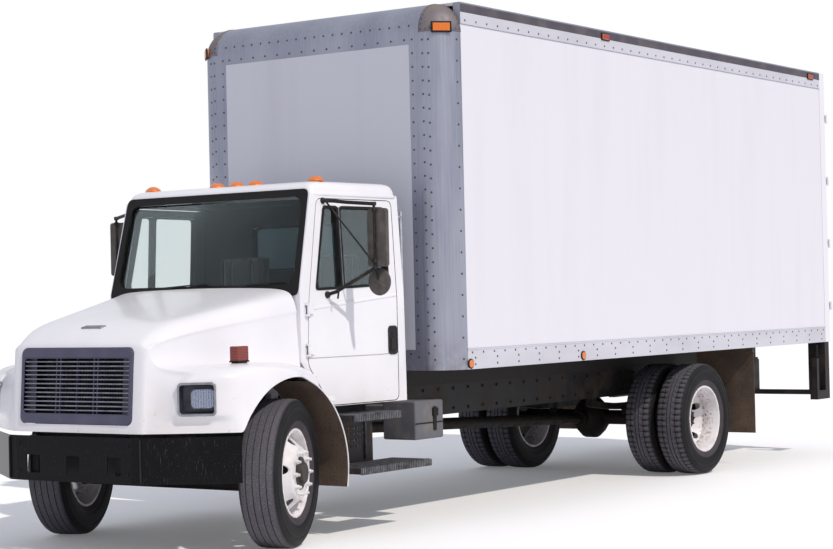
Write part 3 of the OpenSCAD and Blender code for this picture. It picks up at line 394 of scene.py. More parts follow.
made, tree = new_tree("muddy_rubber")
mud = blotches(tree, 240, 0.3, 0.7)
specks = blotches(tree, 9, 0.62, 0.7, detail=1.0)
tone = blend(tree, mud, "#4d4038", "#6d5a4c")
shade(tree, {"Base Color": blend(tree, specks, tone, "#2b2522"), "Roughness": 0.85,
             "Normal": relief(tree, blotches(tree, 7, 0.3, 0.7), 0.5)})
muddy_rubber = made
dress("mud_flaps", muddy_rubber, 2)

# ---------------------------------------------------------------- Cab panels, doors and mud guards
# Pressed steel panels and glass-fibre guards in white two-pack paint under a clear gloss.
# Road dust and rust specks gather low down, and dark grey trim lines every inner face.


def white_coat(name, trim_inside):
    """White paint, chalked a little. Inward faces of the cab can carry the dark trim."""
    made, tree = new_tree(name)
    where = add(tree, "ShaderNodeTexCoord")
    x, y, z = (add(tree, "ShaderNodeSeparateXYZ", {0: where.outputs["Object"]}).outputs[i] for i in range(3))
    low_down = add(tree, "ShaderNodeMapRange", {0: z, 1: 1.25, 2: 0.85, 3: 0.0, 4: 1.0}).outputs[0]
    dust = calc(tree, "MULTIPLY", low_down, blotches(tree, 260, 0.35, 0.8))
    rust = calc(tree, "MULTIPLY", low_down, blotches(tree, 34, 0.66, 0.78))
    tone = blend(tree, blotches(tree, 500, 0.3, 0.7), "#e3e2e9", "#eae9ef")
    tone = blend(tree, calc(tree, "MULTIPLY", dust, 0.4), tone, "#c9bba9")
    tone = blend(tree, calc(tree, "MULTIPLY", rust, 0.45), tone, "#a9754d")
    rough = add(tree, "ShaderNodeMapRange", {0: dust, 3: 0.34, 4: 0.6}).outputs[0]
    coat = 0.35
    if trim_inside:
        facing = add(tree, "ShaderNodeSeparateXYZ", {0: where.outputs["Normal"]})
        side = add(tree, "ShaderNodeMath", {0: x, 1: facing.outputs[0]}, operation="MULTIPLY").outputs[0]
        inward = calc(tree, "LESS_THAN", side, -0.3)
        ahead = calc(tree, "LESS_THAN", y, FRONT_Y + 0.70)
        for faces_back, forward_half in ((1, 1), (0, 0)):
            turned_in = calc(tree, "GREATER_THAN" if faces_back else "LESS_THAN", facing.outputs[1],
                             0.5 if faces_back else -0.5)
            in_half = ahead if forward_half else calc(tree, "SUBTRACT", 1.0, ahead)
            inward = calc(tree, "MAXIMUM", inward, calc(tree, "MULTIPLY", turned_in, in_half))
        up = calc(tree, "GREATER_THAN", facing.outputs[2], 0.5)
        inward = calc(tree, "MAXIMUM", inward, calc(tree, "MULTIPLY", up, calc(tree, "LESS_THAN", z, 1.30)))
        tone = blend(tree, inward, tone, blend(tree, blotches(tree, 60, 0.4, 0.7), "#131418", "#1b1c20"))
        rough = add(tree, "ShaderNodeMix", {0: inward, 2: rough, 3: 0.85}).outputs[0]
        coat = add(tree, "ShaderNodeMapRange", {0: inward, 3: 0.35, 4: 0.0}).outputs[0]
    shade(tree,
          {"Base Color": tone, "Roughness": rough, "IOR": 1.5, "Coat Weight": coat, "Coat Roughness": 0.12,
                 "Normal": relief(tree, blotches(tree, 14, 0.2, 0.8, detail=1.0), 0.03)})
    return made


white_paint = white_coat("white_cab_paint", False)
lined_paint = white_coat("white_paint_with_inner_trim", True)
dress("cab_front_panel", lined_paint)
for node in ("cab_floor", "cab_back_panel", "cab_door_frames"):
    dress(node, lined_paint, 4)
for node in ("door_left", "door_right"):
    dress(node, lined_paint, 7)
dress("mud_guards", white_paint, 3)

# the guards' inner faces are bare and brown with dried mud
form = bmesh.new()
guard_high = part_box("mud_guards")[1]
TYRE_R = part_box("rear_tyres_left")[1].z / 2
GUARD_R = 0.653    # the lining lies 2 mm inside the guard
lining_top, lining_foot = (math.asin((z - TYRE_R) / GUARD_R) for z in (1.107, 0.358))
for side in SIDES:
    x0, x1 = 0.650, guard_high.x - 0.004
    rings = []
    for angle in between(lining_top, lining_foot, 25):
        y, z = FRONT_Y + GUARD_R * math.cos(angle), TYRE_R + GUARD_R * math.sin(angle)
        rings.append([form.verts.new((side * x, y, z)) for x in (x0, (x0 + x1) / 2, x1)])
    join_rows(form, rings)
    # a dark splash sheet closes the gap above, up to the hood's rear edge: painted shade over the white
    # firewall seen through the arch
    block(form, (side * x0, FRONT_Y + 0.346, 1.060), (side * 1.030, FRONT_Y + 0.352, 1.140))
place("guard_linings_and_shade_sheets", form, muddy_rubber)

# ---------------------------------------------------------------- Tyres
# Radial truck tyres: ribbed ones in front, and twin tyres with block treads at the rear.
# The tread is scuffed grey, and brown dust lies on the lower sidewall next to the rim.

KINGPIN_X, FRONT_MID = 0.930, 0.965    # kingpin, and middle of a front tyre, from the middle of the truck
STEER = math.radians(20.6)    # the front wheels stand turned to the left
DUAL_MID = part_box("rear_tyres_left")[1].x - 0.140
DUAL_STEP = 0.320


def front_wheel_at(side):
    """Where a front wheel's own frame stands at rest."""
    pivot = Vector((side * KINGPIN_X, FRONT_Y, 0))
    turn = Matrix.Translation(pivot) @ Matrix.Rotation(STEER, 4, "Z") @ Matrix.Translation(-pivot)
    return turn @ Matrix.Translation((side * FRONT_MID, FRONT_Y, TYRE_R))


def wheel_radius(tree):
    """Distance from a wheel's own X axis, in millimetres."""
    where = add(tree, "ShaderNodeTexCoord").outputs["Object"]
    across = add(tree, "ShaderNodeVectorMath", {0: where, 1: (0, 1000, 1000)},
                 operation="MULTIPLY").outputs[0]
    return add(tree, "ShaderNodeVectorMath", {0: across}, operation="LENGTH").outputs["Value"]


def ramp(tree, value, low, high):
    """0 at low and 1 at high, held at the ends."""
    return add(tree, "ShaderNodeMapRange", {0: value, 1: low, 2: high, 3: 0.0, 4: 1.0}).outputs[0]


made, tree = new_tree("tyre_rubber")
r = wheel_radius(tree)
bead = calc(tree, "MULTIPLY", ramp(tree, r, 356, 344), blotches(tree, 200, 0.1, 0.5))
glossy_band = calc(tree, "MULTIPLY", ramp(tree, r, 350, 358), ramp(tree, r, 428, 414))
tread = ramp(tree, r, 486, 500)
scuff = blotches(tree, 6, 0.35, 0.75)
tone = blend(tree, blotches(tree, 160, 0.35, 0.7), "#131215", "#1e1c1f")
tone = blend(tree, calc(tree, "MULTIPLY", glossy_band, 0.8), tone, "#08080b")
tone = blend(tree, calc(tree, "MULTIPLY", bead, 0.8), tone, "#4b454a")
tone = blend(tree, calc(tree, "MULTIPLY", tread, 0.8), tone, blend(tree, scuff, "#504e55", "#807d85"))
shade(tree,
      {"Base Color": tone,
       "Roughness": add(tree, "ShaderNodeMapRange", {0: tread, 3: 0.6, 4: 0.85}).outputs[0],
             "Specular IOR Level": 0.2,
             "Normal": relief(tree, scuff, 0.4)})
tyre_rubber = made

# the tread in millimetres from the tyre's middle plane, and the radius: ribs and grooves, then the shoulder
rib_tread = [(0, 503), (21, 502.8), (22, 494), (27, 494), (28, 502.6), (68, 502), (69, 493), (74, 493),
             (75, 501.5)]
block_tread = [(0, 503), (12, 503), (13, 490), (21, 490), (22, 502.6), (58, 502.4), (59, 488), (67, 488),
               (68, 502)]
shoulder = [(104, 499), (108, 497), (118, 489)]
sidewall = [(124, 481), (131, 467), (136, 449), (139.5, 447), (139.5, 441), (137, 438), (139.6, 412),
            (139, 388),
            (136, 368), (132, 350), (131, 349), (130, 343), (128, 342), (124, 330), (122, 328), (114, 308),
            (109, 299),
            (105, 287), (92, 286.5)]
SLOTS = 60    # cross slots round a rear tyre


def tyre_outline(tread, notch=0.0, steps=1):
    """Outline of a tyre from one bead to the other, as (along, radius). A notched step is a cross slot."""
    def outline(step):
        cut = notch if step % steps >= steps - 2 else 0.0
        half = [(a, r - (cut if a > 22 and r > 490 else 0)) for a, r in tread]
        half += [(a, r - cut * 0.6) for a, r in shoulder] + sidewall
        both = [(-a, r) for a, r in half[:0:-1]] + half
        return [(a / 1000, r / 1000) for a, r in both]
    return outline


for side, name in NAMED_SIDES:
    form = bmesh.new()
    turned(form, tyre_outline(rib_tread), 144)
    place("front_tyre_ribbed_" + name, form, tyre_rubber, "wheel_front_" + name,
          ("front_tyre_" + name,), smooth=40, at=front_wheel_at(side))
    form = bmesh.new()
    for shift in (0, -DUAL_STEP):
        outline = tyre_outline(block_tread, 12.0, 6)
        turned(form, outline, SLOTS * 6, centre=(side * shift, 0, 0))
    place("rear_tyres_lugged_" + name, form, tyre_rubber, "wheels_rear_" + name,
          ("rear_tyres_" + name,), smooth=40,
          at=Matrix.Translation((side * DUAL_MID, REAR_Y, TYRE_R)))

# ---------------------------------------------------------------- Wheel rims
# Pressed-steel discs welded into rolled rims and painted white. The front discs bulge outwards and
# the rear ones sit deep. Ten flanged nuts clamp each, and rust creeps from the weld and the holes.

made, tree = new_tree("rusting_white_wheel_paint")
r = wheel_radius(tree)
patch = blotches(tree, 26, 0.52, 0.7)
edge = calc(tree, "MAXIMUM", ramp(tree, r, 290, 299),
            calc(tree, "MULTIPLY", ramp(tree, r, 248, 262), ramp(tree, r, 276, 264)))
rust = calc(tree, "MULTIPLY", calc(tree, "MAXIMUM", edge, blotches(tree, 60, 0.62, 0.72)), patch)
grime = calc(tree, "MULTIPLY", blotches(tree, 140, 0.45, 0.8), 0.5)
tone = blend(tree, grime, "#e2dfe2", "#a79a92")
tone = blend(tree, calc(tree, "MULTIPLY", rust, 0.9), tone, "#8f5738")
shade(tree,
      {"Base Color": tone, "Roughness": 0.42, "Normal": relief(tree, blotches(tree, 5, 0.3, 0.7), 0.15)})
wheel_paint = made
greasy_steel = weathered("greasy_hub_steel", "#3b3a3e", "#57504b", 40, 0.5, 0.5, metal=0.5, grain_mm=3)

rim_section = [(0.115, 0.286), (0.115, 0.301), (0.108, 0.301), (0.104, 0.290), (0.09, 0.2855),
               (-0.09, 0.2855),
               (-0.104, 0.290), (-0.108, 0.301), (-0.115, 0.301), (-0.115, 0.284), (-0.08, 0.276),
               (-0.05, 0.262),
               (0.04, 0.262), (0.07, 0.276), (0.108, 0.281)]
rim_section.append(rim_section[0])


def baked(made):
    """The mesh that an object's modifiers give."""
    return bpy.data.meshes.new_from_object(made.evaluated_get(bpy.context.evaluated_depsgraph_get()))


def carve(made, cutter_form, smooth):
    """Cuts a closed form out of a piece and bakes the piece's modifiers."""
    bmesh.ops.recalc_face_normals(cutter_form, faces=cutter_form.faces)
    cutter_mesh = bpy.data.meshes.new("cutter")
    cutter_form.to_mesh(cutter_mesh)
    cutter_form.free()
    cutter = stand("cutter", cutter_mesh)
    cutter.matrix_world = made.matrix_world
    cut = made.modifiers.new("cut", "BOOLEAN")
    cut.object = cutter
    cut.solver = "EXACT"
    bpy.context.view_layer.update()
    result = baked(made)
    made.modifiers.clear()
    made.data = result
    bpy.data.objects.remove(cutter)
    result.set_sharp_from_angle(angle=math.radians(smooth))


HAND_HOLES, HAND_HOLE_R = 5, 0.033
DISC_T = 0.011    # thickness of a disc's steel
NUTS, NUT_RING = 10, 0.143


def disc_with_holes(outline, side, hole_ring, name, at, body, node, extra=()):
    """A pressed disc with round hand holes, and its rim or rims."""
    form = bmesh.new()
    outline = [(side * a, r) for a, r in outline]
    closed = outline + [(a - side * DISC_T, r) for a, r in outline[::-1]]
    turned(form, closed + closed[:1], 120)
    disc = place(name, form, wheel_paint, body, (node,), smooth=45, at=at)
    cutter_form = bmesh.new()
    for i in range(HAND_HOLES):
        angle = math.tau * (i + 0.35) / HAND_HOLES
        spot = Vector((0, math.cos(angle) * hole_ring, math.sin(angle) * hole_ring))
        spin = Matrix.Translation(spot) @ Matrix.Rotation(math.pi / 2, 4, "Y")
        bmesh.ops.create_cone(cutter_form, cap_ends=True, segments=28, radius1=HAND_HOLE_R,
                              radius2=HAND_HOLE_R, depth=0.6, matrix=spin)
    carve(disc, cutter_form, 30)
    form = bmesh.new()
    for shift in (0, *extra):
        turned(form, [(a + shift, r) for a, r in rim_section], 120)
    place(name + "_rim", form, wheel_paint, body, smooth=45, at=at)


def wheel_nuts(face, side, name, at, body, hub):
    """Ten studs with flanged nuts on a disc's face, and the hub between them."""
    form = bmesh.new()
    angles = [math.tau * i / NUTS for i in range(NUTS)]
    spots = [(Vector((side * face, math.cos(a) * NUT_RING, math.sin(a) * NUT_RING)), (side, 0, 0))
             for a in angles]
    for radius, height, sides in ((0.021, 0.007, 12), (0.0165, 0.026, 6), (0.010, 0.042, 10)):
        studs(form, spots, radius, height, sides, dome=False)
    place(name + "_nuts", form, wheel_paint, body, at=at)
    form = bmesh.new()
    turned(form, [(side * a, r) for a, r in hub], 48)
    place(name + "_hub", form, greasy_steel, body, smooth=30, at=at)


for side, name in NAMED_SIDES:
    # the front disc leaves the rim well behind its edge and rises to a flat centre
    bulge = [(0.045, 0.262), (0.052, 0.256), (0.058, 0.246), (0.083, 0.225), (0.110, 0.204), (0.132, 0.189),
             (0.143, 0.180), (0.147, 0.172), (0.148, 0.112)]
    at = front_wheel_at(side)
    body = "wheel_front_" + name
    disc_with_holes(bulge, side, 0.222, "front_disc_" + name, at, body, "front_rim_" + name)
    hub = [(0.02, 0.0), (0.02, 0.105), (0.120, 0.109), (0.152, 0.109), (0.154, 0.075), (0.178, 0.070),
           (0.184, 0.064),
           (0.185, 0.0)]
    wheel_nuts(0.148, side, "front_" + name, at, body, hub)

    # the twin wheels' discs meet face to face between the tyres
    at = Matrix.Translation((side * DUAL_MID, REAR_Y, TYRE_R))
    body = "wheels_rear_" + name
    dish = [(-0.040, 0.262), (-0.048, 0.256), (-0.062, 0.244), (-0.095, 0.222), (-0.125, 0.202),
            (-0.140, 0.188),
            (-0.146, 0.172), (-0.146, 0.100)]
    disc_with_holes(dish, side, 0.226, "rear_disc_" + name, at, body, "rear_rims_" + name,
                    extra=(-side * DUAL_STEP,))
    hub = [(-0.30, 0.0), (-0.30, 0.190), (-0.20, 0.200), (-0.165, 0.180), (-0.160, 0.104), (-0.060, 0.098),
           (-0.052, 0.088),
           (-0.050, 0.082), (-0.036, 0.078), (-0.034, 0.0)]
    wheel_nuts(-0.146, side, "rear_" + name, at, body, hub)
    form = bmesh.new()
    flange = [(Vector((-side * 0.050, math.cos(math.tau * i / 8) * 0.068,
                       math.sin(math.tau * i / 8) * 0.068)),
               (side, 0, 0)) for i in range(8)]
    studs(form, [(spot + Vector((side * 0.014, 0, 0)), way) for spot, way in flange], 0.009, 0.014, 6,
          dome=False)
    place("rear_axle_bolts_" + name, form, greasy_steel, body, at=at)

# ---------------------------------------------------------------- Van body: floor, sides, front wall, roof
# Smooth white-coated aluminium sheets riveted over posts, and a floor of oak planks.
# The sheets are almost flat, so the sky shows in them as one soft even tone.

made, tree = new_tree("oak_floor_planks")
where = add(tree, "ShaderNodeTexCoord").outputs["Object"]
planks = add(tree, "ShaderNodeTexBrick", {
    "Vector": add(tree, "ShaderNodeMapping", {0: where, "Rotation": (0, 0, math.pi / 2)}).outputs[0],
    "Scale": 1.0, "Color1": linear("#8a6d4c"), "Color2": linear("#6f573d"), "Mortar": linear("#2c2219"),
    "Mortar Size": 0.0015, "Brick Width": 2.4, "Row Height": 0.14})
worn = blend(tree, blotches(tree, 120, 0.4, 0.7, stretch=(1, 0.15, 1)), planks.outputs[0], "#54473a")
# the underside is sprayed with black undercoat
worn = blend(tree, facing_up(tree, 0.3, 0.7), "#1a1512", worn)
shade(tree, {"Base Color": worn, "Roughness": 0.7, "Normal": relief(tree, planks.outputs[1], -1.5)})
dress("box_floor", made, 3)


def sheet_paint(name, coat, shadow, rough=0.42, metal=0.0):
    """Factory-coated sheet with faint oil-canning and streaks of rain dirt."""
    made, tree = new_tree(name)
    streaks = blotches(tree, 260, 0.5, 0.85, stretch=(1, 1, 0.12))
    tone = blend(tree, calc(tree, "MULTIPLY", streaks, 0.35), coat, shadow)
    shade(tree, {"Base Color": tone, "Roughness": rough, "Metallic": metal,
                 "Normal": relief(tree, blotches(tree, 900, 0.0, 1.0, detail=0.0), 0.9)})
    return made


side_sheet = sheet_paint("white_side_sheet", "#dddce5", "#cfccd2")
dress("box_side_walls", side_sheet, 2)
# the front wall's sheet is a greyer white than the side sheets: painted shade, for the wall that faces away
# from the sun
front_sheet = sheet_paint("white_front_sheet_painted_shade", "#c4c6d1", "#b4b4bd")
dress("box_front_wall", front_sheet, 2)
dress("box_roof", sheet_paint("bare_roof_sheet", "#c3c6cc", "#a5a5a8", 0.38, 0.6), 2)

# ---------------------------------------------------------------- Van body: rails, corner posts and caps
# Extruded and formed aluminium, satin and slightly scratched, with a cast cap on each corner.
# Rows of dark rivets hold the sheets, and the top rail carries a darker band above them.

made, tree = new_tree("satin_aluminium_frame")
where = add(tree, "ShaderNodeTexCoord").outputs["Object"]
height = add(tree, "ShaderNodeSeparateXYZ", {0: where}).outputs[2]
streak = blotches(tree, 12, 0.3, 0.7, stretch=(1, 1, 0.02))
smear = blotches(tree, 420, 0.35, 0.75, stretch=(1, 1, 0.4))
tone = blend(tree, smear, "#888b9c", "#a3a6b4")
tone = blend(tree, calc(tree, "MULTIPLY", streak, 0.25), tone, "#c8cad6")
low_dirt = calc(tree, "MULTIPLY", ramp(tree, height, 1.40, 1.12), blotches(tree, 70, 0.35, 0.75))
tone = blend(tree, calc(tree, "MULTIPLY", low_dirt, 0.5), tone, "#6f655e")
shade(tree,
      {"Base Color": tone, "Metallic": 0.75,
       "Roughness": add(tree, "ShaderNodeMapRange", {0: streak, 3: 0.36, 4: 0.5}).outputs[0],
             "Normal": relief(tree, streak, 0.15)})
body_aluminium = made
dress("box_frame", body_aluminium, 2)


def two_tone(name, base, patch, size_mm, cover, rough, metal=0.0, grain_mm=0, grain_depth=0.0,
             stretch=(1, 1, 1)):
    """A plain finish that drifts between two tones, with a fine grain where grain_mm is given."""
    made, tree = new_tree(name)
    inputs = {"Base Color": blend(tree, blotches(tree, size_mm, *cover, stretch=stretch), base, patch),
              "Roughness": rough, "Metallic": metal}
    if grain_mm:
        inputs["Normal"] = relief(tree, blotches(tree, grain_mm, 0.3, 0.7), grain_depth)
    shade(tree, inputs)
    return made


rail_coat = two_tone("white_rail_coat", "#c9c9d3", "#b7b6bf", 300, (0.4, 0.8), 0.45,
                     grain_mm=8, grain_depth=0.05, stretch=(1, 0.3, 1))
dark_band = weathered("aged_dark_anodising", "#4b4652", "#6a6468", 200, 0.4, 0.5, metal=0.2)
dark_rivet = weathered("dark_steel_rivets", "#4a4852", "#6b625f", 30, 0.4, 0.5, metal=0.5)

frame_low, frame_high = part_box("box_frame")
HALF = frame_high.x
CORNER_R = 0.229
CORNER_Y = frame_low.y + CORNER_R
RAIL_TOP = frame_low.z + 0.156
RAIL_LOW = frame_high.z - 0.165
REAR_POST_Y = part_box("rear_frame")[0].y
WALL_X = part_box("box_front_wall")[1].x
FLANGE_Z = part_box("box_front_wall")[1].z

form = bmesh.new()
band = bmesh.new()
dots = []
for side in SIDES:
    face = side * HALF
    # a lip along each rail's edges, and the top rail's dark upper band
    block(form, (face - side * 0.001, CORNER_Y, frame_low.z), (face + side * 0.001, REAR_POST_Y, RAIL_TOP))
    block(form, (face, CORNER_Y, RAIL_TOP - 0.012), (face + side * 0.004, REAR_POST_Y, RAIL_TOP))
    block(form, (face, CORNER_Y, frame_low.z), (face + side * 0.003, REAR_POST_Y, frame_low.z + 0.010))
    block(form, (face - side * 0.001, CORNER_Y, RAIL_LOW),
          (face + side * 0.001, REAR_POST_Y, frame_high.z - 0.075))
    block(form, (face, CORNER_Y, RAIL_LOW), (face + side * 0.003, REAR_POST_Y, RAIL_LOW + 0.008))
    block(band, (face - side * 0.001, CORNER_Y, frame_high.z - 0.075),
          (face + side * 0.002, REAR_POST_Y, frame_high.z - 0.012))
    length = REAR_POST_Y - CORNER_Y
    out = (side, 0, 0)
    for y in between(CORNER_Y + 0.06, REAR_POST_Y - 0.05, int(length / 0.15)):
        dots.append((Vector((face + side * 0.001, y, RAIL_TOP - 0.03)), out))
        dots.append((Vector((face + side * 0.001, y, RAIL_LOW + 0.03)), out))
    for y in between(CORNER_Y + 0.10, REAR_POST_Y - 0.10, int(length / 0.30)):
        for z in (frame_low.z + 0.035, frame_low.z + 0.085):
            dots.append((Vector((face + side * 0.001, y, z)), out))
    # two columns on the round post, then a row round the cap's lower edge
    for angle, pitch, offset in ((12, 0.150, 0.0), (70, 0.105, 0.0), (82, 0.105, 0.05)):
        across = Vector((side * math.cos(math.radians(angle)), -math.sin(math.radians(angle)), 0))
        foot = Vector((side * (HALF - CORNER_R), CORNER_Y, 0)) + across * CORNER_R
        top = frame_high.z - CORNER_R
        for z in between(frame_low.z + 0.08 + offset, top - 0.06, int((top - frame_low.z) / pitch)):
            dots.append((foot + Vector((0, 0, z)), across))
    for z in between(frame_low.z + 0.10, frame_high.z - CORNER_R - 0.05, 24):
        dots.append((Vector((side * (WALL_X + 0.03), frame_low.y, z)), (0, -1, 0)))
    # the cap's rim: a folded lip where it laps the post and the two rails
    centre = Vector((side * (HALF - CORNER_R), CORNER_Y, frame_high.z - CORNER_R))
    for i in range(9):
        a = math.radians(5 + 10 * i)
        for way in ((side * math.cos(a), -math.sin(a), 0.09), (side * math.cos(a), -0.09, math.sin(a)),
                    (side * 0.09, -math.cos(a), math.sin(a))):
            way = Vector(way).normalized()
            dots.append((centre + way * CORNER_R, way))
for x in between(-WALL_X, WALL_X, 21):
    way = Vector((0, -math.cos(math.radians(14)), math.sin(math.radians(14))))
    dots.append((Vector((x, CORNER_Y, frame_high.z - CORNER_R)) + way * CORNER_R, way))
for x in between(-WALL_X + 0.04, WALL_X - 0.04, 15):
    dots.append((Vector((x, frame_low.y, FLANGE_Z + 0.035)), (0, -1, 0)))
    dots.append((Vector((x, frame_low.y, RAIL_TOP - 0.03)), (0, -1, 0)))
place("rail_lips", form, rail_coat, edge_mm=1)
place("top_rail_bands", band, dark_band, edge_mm=1)
form = bmesh.new()
studs(form, dots, 0.0085, 0.0045, 8)
place("body_rivets", form, dark_rivet)

# ---------------------------------------------------------------- Van body: corner caps
# Cast aluminium knuckles that join a post to two rails, riveted round their rims.
# They stand a little proud of both.

cap_metal = weathered("brown_cast_aluminium", "#76707a", "#8d837c", 90, 0.5, 0.5, metal=0.6, grain_mm=5,
                      grain_depth=0.3)
steps = 16
for side, name in NAMED_SIDES:
    form = bmesh.new()
    centre = Vector((side * (HALF - CORNER_R), CORNER_Y, frame_high.z - CORNER_R))
    rows = []
    for i in range(steps + 1):
        row = []
        for j in range(steps + 1):
            a, b = math.pi / 2 * i / steps, math.pi / 2 * j / steps
            way = Vector((side * math.cos(a) * math.cos(b), -math.sin(a) * math.cos(b), math.sin(b)))
            row.append(form.verts.new(centre + way * (CORNER_R + 0.003)))
        rows.append(row)
    join_rows(form, list(zip(*rows)))
    bmesh.ops.remove_doubles(form, verts=form.verts, dist=1e-5)
    cap = place("corner_cap_" + name, form, cap_metal, smooth=60)
    wall = cap.modifiers.new("wall", "SOLIDIFY")
    wall.thickness = 0.004
    wall.offset = -1

# ---------------------------------------------------------------- Van body: rear frame and doors
# A welded steel portal painted white, with galvanised hinges, lock rods and guides.
# Each door hangs on its outer edge, and folds right back along the side.

rear_white = sheet_paint("white_steel_portal", "#e2e1e9", "#c9c2bd", 0.4)
dress("rear_frame", rear_white, 4)
for name in ("left", "right"):
    dress("rear_door_" + name, rear_white, 3)
DOOR_BACK_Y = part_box("rear_frame")[0].y + 0.115    # outer face of the closed doors
zinc = weathered("galvanised_steel", "#8f9296", "#6d6862", 50, 0.4, 0.45, metal=0.8)
for side, name in NAMED_SIDES:
    door_low, door_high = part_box("rear_door_" + name)
    form = bmesh.new()
    # a handle that folds flat on the lock rod, its catch, and a rubber seal round the door
    x = side * 0.130
    block(form, (x - side * 0.012, DOOR_BACK_Y + 0.020, 1.72), (x + side * 0.32, DOOR_BACK_Y + 0.032, 1.75))
    block(form, (x + side * 0.26, DOOR_BACK_Y + 0.001, 1.705), (x + side * 0.30, DOOR_BACK_Y + 0.034, 1.765))
    for z in between(door_low.z + 0.06, door_high.z - 0.06, 9):
        studs(form, [(Vector((side * 1.07, DOOR_BACK_Y, z)), (0, 1, 0))], 0.008, 0.004)
    for z in (door_low.z + 0.05, door_high.z - 0.05):
        studs(form, [(Vector((side * x0, DOOR_BACK_Y, z)), (0, 1, 0)) for x0 in between(0.06, 1.05, 9)],
              0.008, 0.004)
    place("rear_door_gear_" + name, form, zinc, "load_door_" + name, edge_mm=2)
    form = bmesh.new()
    outer = side * 1.116
    block(form, (side * 0.004, DOOR_BACK_Y - 0.002, door_low.z + 0.004),
          (side * 0.016, DOOR_BACK_Y + 0.006, door_high.z - 0.004))
    block(form, (outer - side * 0.012, DOOR_BACK_Y - 0.002, door_low.z + 0.004),
          (outer, DOOR_BACK_Y + 0.006, door_high.z - 0.004))
    for z in (door_low.z + 0.004, door_high.z - 0.016):
        block(form, (side * 0.016, DOOR_BACK_Y - 0.002, z),
              (outer - side * 0.012, DOOR_BACK_Y + 0.006, z + 0.012))
    place("rear_door_seal_" + name, form, black_rubber, "load_door_" + name, edge_mm=1.5)

# ---------------------------------------------------------------- Marker lamps
# Moulded amber and red lenses with a ribbed surface, on the cab roof, the caps and the rails.
# The lamps on the caps and the rails sit on black rubber bases.

made, tree = new_tree("amber_lens")
where = add(tree, "ShaderNodeTexCoord").outputs["Object"]
ribs = add(tree, "ShaderNodeTexWave", {"Vector": where, "Scale": 40.0}).outputs[1]
shade(tree, {"Base Color": linear("#d8701c"), "Roughness": 0.22, "Subsurface Weight": 0.15,
             "Subsurface Scale": 0.01, "Coat Weight": 0.4, "Emission Color": linear("#e07a20"),
             "Emission Strength": 0.06,
             "Normal": relief(tree, ribs, 0.6)})
amber_lens = made
dress("marker_lamps", amber_lens, 3)
made, tree = new_tree("red_lens")
shade(tree, {"Base Color": linear("#a02420"), "Roughness": 0.22, "Coat Weight": 0.4})
red_lens = made
lamp_y = [frame_low.y + 2.425, DOOR_BACK_Y - 0.35]
form = bmesh.new()
bezels = bmesh.new()
for side in SIDES:
    for y in lamp_y:
        z = frame_high.z - 0.058
        block(form, (side * (HALF + 0.004), y - 0.052, z - 0.019),
              (side * (HALF + 0.0175), y + 0.052, z + 0.019))
        block(bezels, (side * HALF, y - 0.068, z - 0.030), (side * (HALF + 0.010), y + 0.068, z + 0.030))
    for y in (frame_low.y + 0.26, frame_low.y + 1.935):
        turned(bezels, [(side * (HALF + a), r) for a, r in
                        ((0, 0.038), (0.008, 0.038), (0.011, 0.034), (0.011, 0.030))], 32, "X",
               (0, y, frame_low.z + 0.042))
place("red_side_lamps", form, red_lens, edge_mm=3)
place("lamp_bezels", bezels, black_rubber, edge_mm=1)
form = bmesh.new()
for side in SIDES:
    for x in (HALF - 0.26, HALF - 0.39):
        turned(form, [(a, r) for a, r in ((0.0, 0.056), (0.012, 0.056), (0.015, 0.050), (0.015, 0.047))],
               32, "Y",
               (side * x, DOOR_BACK_Y, frame_low.z + 0.07))
    spot = Vector((side * (HALF - CORNER_R), CORNER_Y, frame_high.z - CORNER_R))
    way = Vector((side, -1, 0)).normalized()
    along = Vector((side, 1, 0)).normalized()
    corners = []
    for depth in (CORNER_R + 0.001, CORNER_R + 0.013):
        for dx, dz in ((-0.078, -0.012), (0.078, -0.012), (0.078, 0.070), (-0.078, 0.070)):
            corners.append(form.verts.new(spot + way * depth + along * dx + Vector((0, 0, dz))))
    inner = []
    for dx, dz in ((-0.066, -0.001), (0.066, -0.001), (0.066, 0.059), (-0.066, 0.059)):
        inner.append(form.verts.new(spot + way * (CORNER_R + 0.013) + along * dx + Vector((0, 0, dz))))
    skin(form, (corners[:4], corners[4:], inner))
place("corner_lamp_bezels", form, black_rubber)

# ---------------------------------------------------------------- Hood
# One glass-fibre moulding of bonnet and fenders in white paint. It tilts forward on two pins.
# A soft crease runs along each side, and a pod bulges round each headlamp above a narrow shelf.

HOOD_BACK = 0.335    # rear edge of the hood behind the front axle
ARCH_R, ARCH_Z = 0.655, TYRE_R
NOSE_X, FENDER_X = 0.610, 1.150
NOSE_Y, FENDER_Y = -0.946, -0.590


def swept_y(x):
    """The fender's front face at a distance from the middle."""
    return NOSE_Y + (x - NOSE_X) * (FENDER_Y - NOSE_Y) / (FENDER_X - NOSE_X)


def arch_z(y):
    """Height of the wheel arch at a distance behind the axle."""
    return ARCH_Z + math.sqrt(ARCH_R ** 2 - y ** 2)


def arch_y(z):
    """Front edge of the wheel arch at a height."""
    return -math.sqrt(ARCH_R ** 2 - (z - ARCH_Z) ** 2)


def hood_row(y, top, crease, valley, fender):
    """One row across the top, from the centre line to the arch: bonnet, side crease, valley, fender."""
    u = (y + 0.90) / (HOOD_BACK + 0.90)
    edge = 0.622 + 0.252 * u
    row = [(0, y, top), (0.30, y, top - 0.003), (0.515 + 0.09 * u, y, top - 0.010),
           (edge - 0.062 - 0.02 * u, y, top - 0.024), (edge - 0.022, y + 0.004, top - 0.062 - 0.01 * u),
           (edge, y + 0.012, crease), (edge - 0.010, y + 0.014, crease - 0.024),
           (edge + 0.012, y + 0.02, valley)]
    return row + fender


